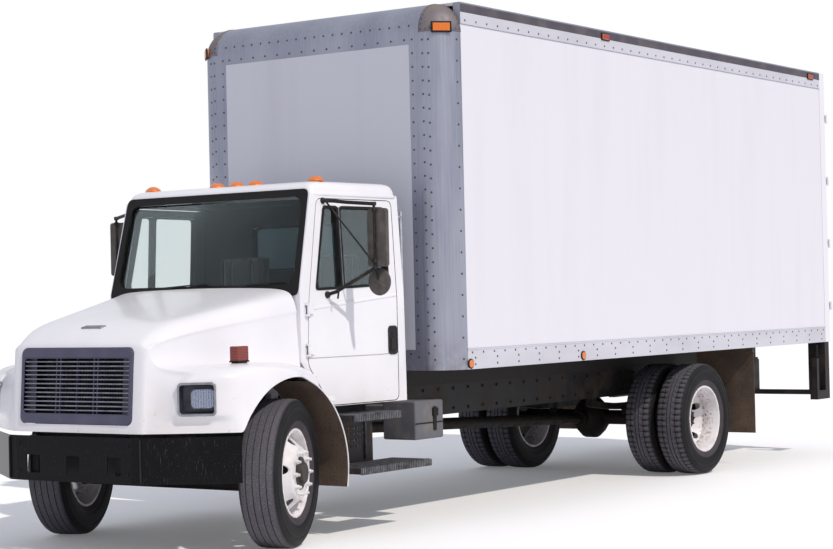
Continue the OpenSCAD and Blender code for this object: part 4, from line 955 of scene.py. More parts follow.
# each front row: heights at the nose and on the fender, and how far the pod stands forward
nose = [0.822, 0.872, 0.950, 1.180, 1.388]
cheek = [0.822, 0.897, 0.940, 1.148, 1.196]
pod = [0.0, 0.002, 0.046, 0.046, 0.024]
FRONT_ROWS = len(nose)
rows = []
for i in range(FRONT_ROWS):
    low, high, out = nose[i], cheek[i], pod[i]
    last = i == FRONT_ROWS - 1
    y = -0.948 + 0.07 * max(low - 0.826, 0)
    row = [(0, y - 0.004, low), (0.30, y - 0.003, low), (0.515, y, low), (0.572, y + 0.004, low),
           (0.600, y + 0.012, low)]
    lean = (low + high) / 2
    hollow = (0.0, 0.0, 0.012, 0.035, 0.075)[i]    # how far the valley beside the nose lies back
    row += [(0.613, y + 0.024, 1.366 if last else lean), (0.628, y + 0.034, lean - 0.03 * last),
            (0.665 + 0.03 * last, swept_y(0.665) + 0.012 + hollow, high + 0.01 * last)]
    step = (0.712, 0.716, 0.736, 0.782, 0.840)[i]    # where the pod rises from the valley
    shoulder_x = max(0.838, step + 0.05)
    row += [(step, swept_y(step) + 0.004 - out * 0.1 + 0.06 * last, high),
            (shoulder_x, swept_y(shoulder_x) - out + 0.02 * last, high),
            (0.993, swept_y(0.993) - out, high), (1.070, swept_y(1.070) - out * 0.6, high),
            (1.136, swept_y(1.136) + 0.012, high - 0.01 * (i > 2))]
    lip = (high, high, high, 1.030, 1.075)[i]
    row.append((1.148, arch_y(lip), lip))
    rows.append(row)
# rows over the top: distance behind the axle, then heights of the top, the crease and the valley
for y, top, crease, valley in ((-0.890, 1.432, 1.388, 1.256), (-0.800, 1.498, 1.416, 1.250),
                               (-0.690, 1.553, 1.444, 1.246)):
    i = len(rows) - FRONT_ROWS
    back = (0.030, 0.095, 0.190)[i]
    z = (1.228, 1.250, 1.262)[i]
    fender = [(x, swept_y(x) + back, z - dz) for x,
              dz in ((0.826, 0.006), (0.880, 0.0), (0.990, 0.0), (1.080, 0.006))]
    fender += [(1.138, swept_y(1.138) + back + 0.03, z - 0.036), (1.149, (-0.27, -0.21, -0.14)[i], 0)]
    rows.append(hood_row(y, top, crease, valley, fender))
for y, top, crease, valley, z in ((-0.40, 1.612, 1.494, 1.246, 1.262), (-0.10, 1.674, 1.533, 1.244, 1.262),
                                  (0.12, 1.720, 1.562, 1.236, 1.240), (0.322, 1.764, 1.588, 1.200, 1.176),
                                  (HOOD_BACK, 1.768, 1.590, 1.196, 1.168)):
    u = (y + 0.90) / (HOOD_BACK + 0.90)
    outer = 1.150 - 0.085 * max(y + 0.1, 0) / 0.435
    fender = [(0.78 + 0.13 * u, y, z - 0.004), (0.86 + 0.08 * u, y, z), (0.99, y, z),
              (outer - 0.060, y, z - 0.005),
              (outer - 0.010, y + 0.02 * (y < 0.3), z - 0.034),
              (outer, max(y, 0.03) if y > -0.2 else -0.06, 0)]
    rows.append(hood_row(y, top, crease, valley, fender))
for row in rows[FRONT_ROWS:]:
    x, y, _ = row[-1]
    row[-1] = (x, y, arch_z(y))

form = bmesh.new()
across = []
for row in rows:
    half = [form.verts.new(Vector(point) + Vector((0, FRONT_Y, 0))) for point in row]
    mirrored = [form.verts.new(Vector((-v.co.x, v.co.y, v.co.z))) for v in half[1:]]
    across.append(mirrored[::-1] + half)
MIDDLE = len(rows[0]) - 1
creases = form.edges.layers.float.new("crease_edge")
join_rows(form, across)


def sharpen(row, column, down, along, weight):
    """Creases the edge from a point to the next one, a row down or a column along, on both sides."""
    for side in SIDES:
        first = across[row][MIDDLE + side * column]
        second = across[row + down][MIDDLE + side * (column + along)]
        edge = form.edges.get((first, second))
        if edge:
            edge[creases] = weight


LAST_ROW = len(rows) - 1
for i in range(FRONT_ROWS, LAST_ROW):
    sharpen(i, 5, 1, 0, 0.45)
for i in range(LAST_ROW):
    sharpen(i, 13, 1, 0, 0.6)
for t in range(8, 12):
    sharpen(2, t, 0, 1, 0.7)
    sharpen(1, t, 0, 1, 0.4)
for i in (2, 3):
    sharpen(i, 8, 1, 0, 0.4)
    sharpen(i, 9, 1, 0, 0.4)
for t in range(13):
    sharpen(LAST_ROW - 1, t, 0, 1, 0.3)
hood = place("hood_moulding", form, white_paint, "hood", ("hood",), smooth=180)
finer = hood.modifiers.new("smooth", "SUBSURF")
finer.levels = finer.render_levels = 3
wall = hood.modifiers.new("wall", "SOLIDIFY")
wall.thickness = 0.009
wall.offset = -1
# the underside is bare black resin, dulled by mud
hood.data.materials.append(weathered("black_resin_underside", "#0b0b0d", "#2b2522", 150, 0.35, 0.8))
wall.material_offset = 1


LAMP_X, LAMP_Z0, LAMP_Z1 = 0.911, 0.942, 1.146
SWEEP = math.atan((FENDER_Y - NOSE_Y) / (FENDER_X - NOSE_X))
GRILLE_Z0, GRILLE_Z1, GRILLE_HALF = 0.876, 1.386, 0.515


def rounded_box(form, low, high, radius, at=Matrix()):
    """A box whose four edges along Y are rounded."""
    (x0, y0, z0), (x1, y1, z1) = low, high
    outline = []
    for cx, cz, start in ((x1 - radius, z1 - radius, 0), (x0 + radius, z1 - radius, 90),
                          (x0 + radius, z0 + radius, 180), (x1 - radius, z0 + radius, 270)):
        for i in range(7):
            a = math.radians(start + 15 * i)
            outline.append((cx + radius * math.cos(a), cz + radius * math.sin(a)))
    front = [form.verts.new(at @ Vector((x, y0, z))) for x, z in outline]
    back = [form.verts.new(at @ Vector((x, y1, z))) for x, z in outline]
    form.faces.new(front)
    form.faces.new(back[::-1])
    for i in range(len(outline)):
        j = (i + 1) % len(outline)
        form.faces.new((front[i], back[i], back[j], front[j]))
    return front, back


def lamp_at(side):
    """A headlamp's own frame on the swept face: X along the face, +Y into the fender."""
    spot = Vector((side * LAMP_X, FRONT_Y + swept_y(LAMP_X), 0))
    return Matrix.Translation(spot) @ Matrix.Rotation(side * SWEEP, 4, "Z")


cutter_form = bmesh.new()
rounded_box(cutter_form, (-GRILLE_HALF, FRONT_Y - 1.1, GRILLE_Z0),
            (GRILLE_HALF, FRONT_Y - 0.80, GRILLE_Z1), 0.045)
for side in SIDES:
    rounded_box(cutter_form, (-0.118, -0.2, LAMP_Z0 + 0.002), (0.118, 0.2, LAMP_Z1 - 0.002), 0.024,
                lamp_at(side))
carve(hood, cutter_form, 40)

# ---------------------------------------------------------------- Grille
# A moulded grey surround, and thin bright-edged bars across an open dark throat.
# Two pairs of upright ribs and a middle rib tie the bars together.

grille_grey = two_tone("blue_grey_moulding", "#47475d", "#57556a", 150, (0.4, 0.8), 0.4, 0.15,
                       grain_mm=3, grain_depth=0.06)
dull_chrome = two_tone("dull_chrome_edge", "#8d8c96", "#6b6a75", 60, (0.4, 0.7), 0.35, 0.8)
black_plastic = two_tone("black_plastic", "#0c0c0f", "#1c1b1e", 90, (0.5, 0.8), 0.6, grain_mm=2,
                         grain_depth=0.05)

LEAN = 0.036    # the grille's top stands this far behind its foot


def grille_y(z):
    """Front of the grille at a height."""
    return FRONT_Y - 0.953 + LEAN * (z - GRILLE_Z0) / (GRILLE_Z1 - GRILLE_Z0)


def leaning(verts):
    """Shears points so that they lean with the grille."""
    for v in verts:
        v.co.y += grille_y(v.co.z)


form = bmesh.new()
rounded_box(form, (-0.512, 0.0, GRILLE_Z0 + 0.003), (0.512, 0.030, GRILLE_Z1 - 0.003), 0.044)
cutter_form = bmesh.new()
rounded_box(cutter_form, (-0.484, -0.1, GRILLE_Z0 + 0.072), (0.484, 0.2, GRILLE_Z1 - 0.072), 0.022)
frame_piece = place("grille_surround", form, grille_grey, "hood", ("grille",))
carve(frame_piece, cutter_form, 30)
leaning(frame_piece.data.vertices)
bevel(frame_piece, 5, 3, 40)

bars = between(GRILLE_Z0 + 0.094, GRILLE_Z1 - 0.094, 12)
form = bmesh.new()
bright = bmesh.new()
for z in bars:
    y = grille_y(z)
    block(form, (-0.486, y + 0.010, z - 0.006), (0.486, y + 0.034, z + 0.004))
    block(bright, (-0.486, y + 0.007, z - 0.003), (0.486, y + 0.0115, z + 0.004))
first = len(form.verts)
for x, width in ((-0.19, 0.008), (-0.155, 0.008), (0.19, 0.008), (0.155, 0.008), (0.0, 0.004)):
    block(form, (x - width / 2, 0.014, GRILLE_Z0 + 0.07), (x + width / 2, 0.045, GRILLE_Z1 - 0.07))
for side in SIDES:
    # a plain panel closes each end of the throat behind the bars
    block(form, (side * 0.40, 0.036, GRILLE_Z0 + 0.07), (side * 0.49, 0.040, GRILLE_Z1 - 0.07))
    block(form, (side * 0.484, 0.0, GRILLE_Z0 + 0.07), (side * 0.492, 0.09, GRILLE_Z1 - 0.07))
for z in (GRILLE_Z0 + 0.064, GRILLE_Z1 - 0.072):
    block(form, (-0.49, 0.0, z), (0.49, 0.09, z + 0.008))
form.verts.ensure_lookup_table()
leaning(form.verts[first:])
place("grille_bars", form, grille_grey, "hood", edge_mm=1)
place("grille_bar_edges", bright, dull_chrome, "hood", edge_mm=1)
form = bmesh.new()
block(form, (-0.53, 0.10, GRILLE_Z0 + 0.02), (0.53, 0.104, GRILLE_Z1 - 0.02))
for x in between(-0.50, 0.50, 41):
    block(form, (x - 0.002, 0.095, GRILLE_Z0 + 0.03), (x + 0.002, 0.101, GRILLE_Z1 - 0.03))
leaning(form.verts)
place("grille_mesh_backing", form, black_plastic, "hood")

# a bare chrome strip lies in a short slot above the grille
form = bmesh.new()
slot_y, slot_z = FRONT_Y - 0.775, 1.514
ends = []
for x, dy in ((-0.092, 0.0), (0.092, 0.0), (0.108, 0.036), (-0.074, 0.036)):
    ends.append((x, slot_y + dy, slot_z + dy * 0.36))
low_ring = [form.verts.new(Vector(point) - Vector((0, 0, 0.012))) for point in ends]
high_ring = [form.verts.new(Vector(point) + Vector((0, -0.002, 0.004))) for point in ends]
form.faces.new(high_ring)
form.faces.new(low_ring[::-1])
skin(form, (low_ring, high_ring))
place("hood_slot_strip", form, dull_chrome, "hood", edge_mm=3)

# ---------------------------------------------------------------- Headlamps and turn lamps
# A bright moulded bezel frames a deep grey bucket, with a clear fluted lens in its outer half.
# The turn lamps are red-amber blocks on black rubber feet, on top of the fenders.

bezel_grey = two_tone("bright_grey_bezel", "#9a9aa0", "#77767c", 60, (0.4, 0.8), 0.28, 0.8)
bucket_grey = two_tone("grey_lamp_bucket", "#4a4b55", "#2e3038", 70, (0.4, 0.8), 0.4, 0.4)
# the silvered bowl's colour runs in bands of blue-purple and pale grey: painted reflections; the same bands
# give its ripples
made, tree = new_tree("silvered_reflector_painted_reflections")
where = add(tree, "ShaderNodeTexCoord").outputs["Object"]
painted_reflections_and_ripples = add(tree, "ShaderNodeTexWave", {"Vector": where, "Scale": 22.0, "Distortion": 1.5}).outputs[1]
shade(tree, {"Base Color": blend(tree, painted_reflections_and_ripples, "#66708e", "#adb2c2"), "Metallic": 1.0, "Roughness": 0.22,
             "Normal": relief(tree, painted_reflections_and_ripples, 2.0)})
reflector = made
made, tree = new_tree("clear_lens_glass")
where = add(tree, "ShaderNodeTexCoord").outputs["Object"]
flutes = add(tree, "ShaderNodeTexWave", {"Vector": where, "Scale": 14.0}).outputs[1]
shade(tree, {"Base Color": linear("#e8ecf4"), "Roughness": 0.05, "Transmission Weight": 0.92, "IOR": 1.35,
             "Normal": relief(tree, flutes, 0.8)})
lens_glass = made
made, tree = new_tree("red_amber_lens")
where = add(tree, "ShaderNodeTexCoord").outputs["Object"]
ribs = add(tree, "ShaderNodeTexWave", {"Vector": where, "Scale": 30.0}, bands_direction="Z").outputs[1]
shade(tree, {"Base Color": blend(tree, ribs, "#64190d", "#8c2c14"), "Roughness": 0.2, "Coat Weight": 0.4,
             "Normal": relief(tree, ribs, 1.0)})
turn_red = made


def frame_ring(form, low, high, radius, inner_low, inner_high, inner_radius, at, front, back):
    """A flat ring between two rounded rectangles, from a front plane to a back plane."""
    outer_front, outer_back = rounded_box(form, (low[0], front, low[1]), (high[0], back, high[1]), radius, at)
    inner_front, inner_back = rounded_box(form, (inner_low[0], front, inner_low[1]),
                                          (inner_high[0], back, inner_high[1]),
                                          inner_radius, at)
    caps = [f for f in form.faces if len(f.verts) > 8]
    bmesh.ops.delete(form, geom=caps, context="FACES_ONLY")
    for i in range(len(outer_front)):
        j = (i + 1) % len(outer_front)
        form.faces.new((outer_front[i], outer_front[j], inner_front[j], inner_front[i]))
        form.faces.new((outer_back[i], inner_back[i], inner_back[j], outer_back[j]))


for side, name in NAMED_SIDES:
    at = lamp_at(side)
    form = bmesh.new()
    frame_ring(form, (-0.126, LAMP_Z0 - 0.008), (0.126, LAMP_Z1 + 0.006), 0.028,
               (-0.112, LAMP_Z0 + 0.008), (0.112, LAMP_Z1 - 0.010), 0.018, at, -0.044, -0.010)
    place("headlamp_bezel_" + name, form, bezel_grey, "hood",
          ("front_lamps",) if side > 0 else (), edge_mm=4)
    form = bmesh.new()
    # the bucket: walls that narrow towards a back plate
    ring_front, ring_back = rounded_box(form, (-0.113, -0.030, LAMP_Z0 + 0.007),
                                        (0.113, 0.050, LAMP_Z1 - 0.009), 0.020, at)
    front_cap = [f for f in form.faces if len(f.verts) > 8 and all(v in ring_front for v in f.verts)]
    bmesh.ops.delete(form, geom=front_cap, context="FACES_ONLY")
    centre = sum((v.co for v in ring_back), Vector()) / len(ring_back)
    for v in ring_back:
        v.co = centre + (v.co - centre) * 0.88
    place("headlamp_bucket_" + name, form, bucket_grey, "hood", smooth=30)
    # the lamp: silvered bowl, and a slightly crowned lens with rounded corners
    form = bmesh.new()
    mid_z = (LAMP_Z0 + LAMP_Z1) / 2
    centre_x = side * 0.034
    rounded_box(form, (centre_x - 0.072, 0.002, mid_z - 0.058), (centre_x + 0.072, 0.046, mid_z + 0.058),
                0.026, at)
    place("headlamp_reflector_" + name, form, reflector, "hood", smooth=30)
    form = bmesh.new()
    rounded_box(form, (centre_x - 0.077, -0.014, mid_z - 0.063), (centre_x + 0.077, 0.000, mid_z + 0.063),
                0.030, at)
    place("headlamp_lens_" + name, form, lens_glass, "hood", smooth=30, edge_mm=5)
    form = bmesh.new()
    x = side * 0.960
    y0, y1 = FRONT_Y - 0.440, FRONT_Y - 0.322
    block(form, (x - 0.034, y0, 1.274), (x + 0.034, y1, 1.374))
    place("turn_lamp_" + name, form, turn_red, "hood", edge_mm=8)
    form = bmesh.new()
    block(form, (x - 0.030, y0 + 0.012, 1.245), (x + 0.030, y1 - 0.012, 1.277))
    block(form, (x - 0.036, y0 - 0.004, 1.268), (x + 0.036, y1 + 0.004, 1.279))
    place("turn_lamp_foot_" + name, form, black_rubber, "hood", edge_mm=3)

# ---------------------------------------------------------------- Front bumper
# A pressed steel bumper in three parts, in satin black paint. Dust lies on the middle part,
# and gravel has scratched the swept ends.

made, tree = new_tree("scratched_black_bumper")
where = add(tree, "ShaderNodeTexCoord").outputs["Object"]
middle = add(tree, "ShaderNodeMath", {0: add(tree, "ShaderNodeSeparateXYZ", {0: where}).outputs[0]},
             operation="ABSOLUTE").outputs[0]
on_end = ramp(tree, middle, 0.60, 0.61)
tilted = add(tree, "ShaderNodeMapping",
             {0: where, "Rotation": (0.5, 0.35, 0), "Scale": (9, 9, 0.5)}).outputs[0]
scratch = add(tree, "ShaderNodeTexNoise", {"Vector": tilted, "Scale": 26.0, "Detail": 2.0}).outputs[0]
hairs = calc(tree, "MULTIPLY", ramp(tree, scratch, 0.66, 0.74), on_end)
specks = blotches(tree, 7, 0.70, 0.78, detail=1.0)
marks = calc(tree, "MULTIPLY", calc(tree, "MAXIMUM", hairs, specks), 0.22)
base = blend(tree, on_end, "#060609", "#040408")
base = blend(tree, calc(tree, "MULTIPLY", blotches(tree, 220, 0.45, 0.8), 0.3), base, "#171618")
shade(tree, {"Base Color": blend(tree, marks, base, "#8a8790"), "Specular IOR Level": 0.15,
             "Roughness": add(tree, "ShaderNodeMapRange", {0: on_end, 3: 0.52, 4: 0.30}).outputs[0],
             "Normal": relief(tree, blotches(tree, 30, 0.3, 0.7), 0.3)})
bumper_black = made
dress("front_bumper", bumper_black, 16, angle=12)
bumper_low, bumper_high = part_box("front_bumper")
form = bmesh.new()
joints = bmesh.new()
for side in SIDES:
    # the joint between the middle and an end, and the carriage bolts beside it
    block(joints, (side * 0.600, bumper_low.y - 0.0006, bumper_low.z + 0.012),
          (side * 0.606, bumper_low.y + 0.01, bumper_high.z - 0.012))
    spots = [(Vector((side * 0.50, bumper_low.y + 0.001, z)), (0, -1, 0)) for z in (0.56, 0.745)]
    studs(form, spots, 0.013, 0.006, 16)
place("bumper_bolts", form, bumper_black)
# a black plate between the rail ends stands behind the tow holes: painted shade, so the holes show dark
form = bmesh.new()
block(form, (-0.40, bumper_low.y + 0.16, bumper_low.z + 0.03),
      (0.40, bumper_low.y + 0.164, bumper_high.z - 0.03))
place("tow_hole_shade_plate", form, black_plastic)
place("bumper_joints", joints, black_plastic)

# ---------------------------------------------------------------- Cab roof
# A pressed roof cap with soft rounded edges, and a folded drip rail over the doors.
# It is welded over the door frames, and lined with dark grey cloth.

TAPER = math.radians(3.7)    # the cab's sides draw in towards the front by this much
CAB_BACK, CAB_HALF, BELT_Z, GUTTER_Z, GUTTER_HALF = 1.500, 0.975, 1.660, 2.420, 0.936
SHIELD_FOOT = (0.352, 1.735)    # the windshield's plane: how far behind the axle, at what height
SHIELD_HEAD = (0.527, 2.440)


def side_x(y, z):
    """Outer face of the cab's side at a distance behind the axle and a height."""
    half = CAB_HALF - (CAB_HALF - GUTTER_HALF) * max(z - BELT_Z, 0) / (GUTTER_Z - BELT_Z)
    return half / math.cos(TAPER) - (CAB_BACK - y) * math.tan(TAPER) - CAB_HALF * (1 / math.cos(TAPER)
                                                                                   - 1) + 0.0016


def shield_y(z):
    """The windshield's plane behind the axle at a height."""
    share = (z - SHIELD_FOOT[1]) / (SHIELD_HEAD[1] - SHIELD_FOOT[1])
    return SHIELD_FOOT[0] + (SHIELD_HEAD[0] - SHIELD_FOOT[0]) * share


def roof_ring(form, z, inset, lean):
    """A closed ring round the roof at one height, drawn in by inset. lean moves the front edge back."""
    r = 0.055    # the roof's corners
    front, back = 0.522 + inset * 1.15 + lean, 1.478 - inset
    ring = []
    for side, y, start in ((1, back, 0), (-1, back, 90), (-1, front, 180), (1, front, 270)):
        x = side * (side_x(y, GUTTER_Z) - inset)
        centre = Vector((x - side * r, y - (r if y == back else -r), z))
        for i in range(7):
            a = math.radians(start + 15 * i)
            ring.append(form.verts.new(centre + Vector((math.cos(a) * r, math.sin(a) * r + FRONT_Y, 0))))
    return ring


form = bmesh.new()
rings = [roof_ring(form, z, inset, lean) for z, inset, lean in (
    (2.398, 0.030, 0.006), (2.404, -0.004, 0.014), (2.413, -0.008, 0.020), (2.422, -0.004, 0.016),
    (2.428, 0.002, 0.010),
    (2.448, 0.004, 0.008), (2.468, 0.010, 0.012), (2.486, 0.020, 0.020), (2.499, 0.036, 0.030),
    (2.507, 0.058, 0.04),
    (2.5115, 0.100, 0.06), (2.5125, 0.20, 0.08))]
skin(form, rings)
form.faces.new(rings[-1])
inner = [roof_ring(form, z, inset, 0.03) for z, inset in ((2.398, 0.048), (2.440, 0.052), (2.462, 0.10))]
skin(form, [rings[0]] + inner)
form.faces.new(inner[-1])
place("cab_roof_cap", form, lined_paint, replaces=("cab_roof",), smooth=50)
form = bmesh.new()
form.faces.new(roof_ring(form, 2.455, 0.06, 0.03))
place("roof_lining", form,
      weathered("dark_grey_headlining", "#131417", "#1c1d20", 90, 0.3, 0.9, grain_mm=1.5))

# ---------------------------------------------------------------- Cab glass, seals and wipers
# Tinted laminated glass in thick black rubber seals, slid in from outside.
# Two wipers park against the windshield's foot.


def glass(name, tint):
    """Clear sheet glass with a tint, a faint film of dust, and a soft gloss."""
    made, tree = new_tree(name)
    sheet = add(tree, "ShaderNodeBsdfPrincipled", {
        "Base Color": linear(tint), "Roughness": 0.0, "Transmission Weight": 1.0, "IOR": 1.02})
    film = add(tree, "ShaderNodeBsdfDiffuse", {0: linear("#2f4347")})
    dusty = add(tree, "ShaderNodeMixShader", {0: 0.015, 1: sheet.outputs[0], 2: film.outputs[0]})
    gloss = add(tree, "ShaderNodeBsdfGlossy", {0: linear("#dfeaf0"), 1: 0.04})
    share = calc(tree, "MULTIPLY", add(tree, "ShaderNodeFresnel", {0: 1.45}).outputs[0], 0.20)
    mixed = add(tree, "ShaderNodeMixShader", {0: share, 1: dusty.outputs[0], 2: gloss.outputs[0]})
    add(tree, "ShaderNodeOutputMaterial", {0: mixed.outputs[0]})
    return made


tinted_glass = glass("tinted_glass", "#f6fbfb")
# the rear window's glass has a much darker tint than the others: painted shade, for the box wall in shadow
# behind it
rear_glass_painted_shade = glass("rear_glass_painted_shade", "#6c8283")


def outline_of(corners, radius, steps=7):
    """Corner points joined by straight edges, each corner rounded."""
    points = []
    for i, corner in enumerate(corners):
        here, before, after = (Vector(corners[k % len(corners)]) for k in (i, i - 1, i + 1))
        into, away = (here - before).normalized(), (after - here).normalized()
        start, end = here - into * radius, here + away * radius
        for k in range(steps):
            t = k / (steps - 1)
            points.append(start * (1 - t) ** 2 + here * 2 * t * (1 - t) + end * t * t)
    return points


def seal(form, outer, inner, surface, out, back):
    """A seal between two outlines of (across, height). surface places a point at a depth behind the face."""
    rings = []
    for outline, depth in ((outer, 0.001), (outer, out), (inner, out), (inner, back)):
        rings.append([form.verts.new(surface(*point, depth)) for point in outline])
    skin(form, rings)


def pane(form, corners, radius, surface, crown):
    """A flat sheet of glass between two depths of a surface, bowed outwards a little."""
    across = [sum(c[k] for c in corners) / len(corners) for k in (0, 1)]
    faces = []
    for depth in (0.020, 0.026):
        rings = []
        for share in (1.0, 0.8, 0.5, 0.2):
            ring = []
            for point in outline_of(corners, radius):
                a, b = (across[k] + (point[k] - across[k]) * share for k in (0, 1))
                ring.append(form.verts.new(surface(a, b, depth - crown * (1 - share ** 2))))
            rings.append(ring)
        skin(form, rings)
        form.faces.new(rings[-1])
        faces.append(rings[0])
    skin(form, faces)


def on_shield(x, z, depth):
    """A point of the windshield's plane, at a depth behind it."""
    return Vector((x, FRONT_Y + shield_y(z) + depth, z))


form = bmesh.new()
outer = outline_of([(-0.890, 1.700), (0.890, 1.700), (0.858, 2.452), (-0.858, 2.452)], 0.05)
inner = outline_of([(-0.834, 1.784), (0.834, 1.784), (0.810, 2.398), (-0.810, 2.398)], 0.085)
seal(form, outer, inner, on_shield, -0.005, 0.020)
place("windshield_seal", form, black_rubber, smooth=50, edge_mm=1.5)


def on_back(x, z, depth):
    """A point of the cab's back panel, at a depth ahead of it."""
    lean = 0.020 * (z - 0.915) / (GUTTER_Z - 0.915)
    return Vector((x, FRONT_Y + CAB_BACK - lean - depth, z))


form = bmesh.new()
outer = outline_of([(-0.438, 1.882), (0.438, 1.882), (0.438, 2.258), (-0.438, 2.258)], 0.065)
inner = outline_of([(-0.405, 1.915), (0.405, 1.915), (0.405, 2.225), (-0.405, 2.225)], 0.05)
seal(form, outer, inner, on_back, -0.005, 0.040)
place("rear_window_seal", form, black_rubber, smooth=50, edge_mm=1.5)
form = bmesh.new()
pane(form, [(-0.848, 1.775), (0.848, 1.775), (0.822, 2.408), (-0.822, 2.408)], 0.085, on_shield, 0.006)
place("windshield_glass", form, tinted_glass, replaces=("cab_glass",), smooth=40)
form = bmesh.new()
pane(form, [(-0.420, 1.900), (0.420, 1.900), (0.420, 2.240), (-0.420, 2.240)], 0.060, on_back, 0.0)
place("rear_window_glass", form, rear_glass_painted_shade, smooth=40)


def strip(form, first, last, half, thick):
    """A flat bar between two points, half as wide to each side, and thick along Y."""
    ends = [[form.verts.new(point + half * a + Vector((0, b * thick, 0)))
             for a, b in ((-1, 0), (1, 0), (1, 1), (-1, 1))] for point in (first, last)]
    skin(form, ends)
    for end in ends:
        form.faces.new(end)


# each wiper: a spindle, an arm with a coil-spring hood, and a blade along it
form = bmesh.new()
for pivot_x, tip_x in ((-0.60, 0.02), (0.12, 0.72)):
    y = FRONT_Y + shield_y(1.755) - 0.012
    foot = Vector((pivot_x, y, 1.752))
    tip = Vector((tip_x, FRONT_Y + shield_y(1.800) - 0.016, 1.800))
    way = (tip - foot).normalized()
    across = way.cross(Vector((0, -1, 0))).normalized()
    for at_share, to_share, width, lift in ((0.0, 0.16, 0.014, 0.010), (0.14, 0.52, 0.006, 0.006)):
        length = (tip - foot).length
        strip(form, foot + way * length * at_share, foot + way * length * to_share, across * width, -lift)
    blade_from = foot + way * 0.05 + Vector((0, 0.004, 0.012))
    strip(form, blade_from, tip + Vector((0, 0.004, 0.0)), across * 0.005, 0.014)
    studs(form, [(foot + Vector((0, 0.004, 0)), (0, -1, 0.2))], 0.016, 0.016, 16)
place("wipers", form, black_plastic, edge_mm=1)

# ---------------------------------------------------------------- Cab doors
# Hinged pressed doors with a vent light and a drop glass, divided by a thin bright channel.
# A soft belt crease and a lower seam cross each door, and the handle lies in a black dish.

# the grey of the lower seam's strip is painted shade in a pressed crease
seam_painted_shade = two_tone("door_seam_painted_shade", "#a9a8b2", "#8b8a94", 90, (0.4, 0.8), 0.5)
# corners of the vent light and of the drop glass, and their corner radii
LIGHTS = (([(0.525, 1.742), (0.800, 1.750), (0.800, 2.325), (0.655, 2.325)], 0.034),
          ([(0.824, 1.751), (1.320, 1.772), (1.320, 2.325), (0.824, 2.325)], 0.045))
HANDLE_Y, HANDLE_Z = 1.348, 1.362


def shrunk(corners, by):
    """Corner points drawn in towards their middle by an amount on each side."""
    mid = [sum(c[k] for c in corners) / 4 for k in (0, 1)]
    return [(a + (by if a < mid[0] else -by), b + (by if b < mid[1] else -by)) for a, b in corners]


for side, name in NAMED_SIDES:
    body = "cab_door_" + name

    def on_door(y, z, depth):
        """A point of the door's outer face, at a depth behind it."""
        return Vector((side * (side_x(y, z) - depth), FRONT_Y + y, z))

    form = bmesh.new()
    for corners, radius in LIGHTS:
        outer = outline_of(shrunk(corners, -0.009), radius)
        inner = outline_of(shrunk(corners, 0.010), radius - 0.008)
        seal(form, outer, inner, on_door, -0.0035, 0.020)
    place("door_glass_seals_" + name, form, black_rubber, body, smooth=50, edge_mm=1)
    form = bmesh.new()
    for corners, radius in LIGHTS:
        pane(form, corners, radius, on_door, 0.0)
    place("door_panes_" + name, form, tinted_glass, body, ("door_glass_" + name,), smooth=40)
    form = bmesh.new()
    # bright channel between the lights
    block(form, (0, 0.808, 1.752), (0.006, 0.816, 2.324))
    for v in form.verts:
        v.co = on_door(v.co.y, v.co.z, -v.co.x)
    place("door_channel_" + name, form, dull_chrome, body, edge_mm=1)

    # belt crease: a low ridge that swells from the hinge edge to the back
    form = bmesh.new()
    ridge = []
    for y, z in zip(between(0.452, 1.398, 25), between(1.602, 1.688, 25)):
        ridge.append([form.verts.new(on_door(y, z + dz, depth)) for dz, depth in
                      ((0.022, 0.001), (0.010, -0.002), (0.0, -0.0055), (-0.007, -0.001), (-0.010, 0.002))])
    join_rows(form, ridge)
    place("door_crease_" + name, form, white_paint, body, smooth=60)
    # lower seam, a pressed line drawn as a thin grey strip: painted shade in the crease
    form = bmesh.new()
    for i in range(24):
        y0, y1 = 0.428 + 0.0405 * i, 0.428 + 0.0405 * (i + 1)
        z = 1.262 if y0 < 1.2 else 1.262 + (y0 - 1.2) * 0.05
        corners = [form.verts.new(on_door(y, z + dz, -0.0006)) for y, dz in
                   ((y0, -0.0022), (y1, -0.0022), (y1, 0.0022), (y0, 0.0022))]
        form.faces.new(corners)
    place("door_seam_" + name, form, seam_painted_shade, body)

    # handle: a rounded black dish with a pull across it, and the lock below
    form = bmesh.new()
    dish = outline_of([(-0.052, -0.105), (0.052, -0.105), (0.052, 0.105), (-0.052, 0.105)], 0.035)
    rings = []
    for share, depth in ((1.0, 0.001), (1.0, -0.006), (0.86, -0.006), (0.80, -0.001)):
        rings.append([form.verts.new(on_door(HANDLE_Y + a * share, HANDLE_Z + b * share, depth)) for a,
                      b in dish])
    skin(form, rings)
    form.faces.new(rings[-1])
    for dy0, dy1, dz0, dz1, lift in ((-0.030, 0.030, -0.075, 0.020, 0.012),
                                     (-0.012, 0.012, 0.040, 0.064, 0.008)):
        foot = ((dy0, dz0), (dy1, dz0), (dy1, dz1), (dy0, dz1))
        low = [form.verts.new(on_door(HANDLE_Y + a, HANDLE_Z + b, -0.001)) for a, b in foot]
        high = [form.verts.new(on_door(HANDLE_Y + a * 0.8, HANDLE_Z + b * 0.92, -lift)) for a, b in foot]
        skin(form, (low, high))
        form.faces.new(high)
    place("door_handle_" + name, form, black_plastic, body, smooth=40, edge_mm=2)

# ---------------------------------------------------------------- Door mirrors
# A tall flat mirror and a round one below it, on a rod between two arms from the door.
# Ribbed brown-grey cases, silvered glass that faces the driver, and clamps where rods meet.

mirror_shell = weathered("brown_grey_mirror_case", "#4a4646", "#6a625c", 70, 0.4, 0.45, grain_mm=2)
black_rod = weathered("black_coated_rod", "#141416", "#3d3835", 50, 0.35, 0.45, metal=0.2)
mirror_glass = two_tone("silvered_mirror_glass", "#cfd4d8", "#b9bfc4", 80, (0.4, 0.8), 0.04, 1.0)


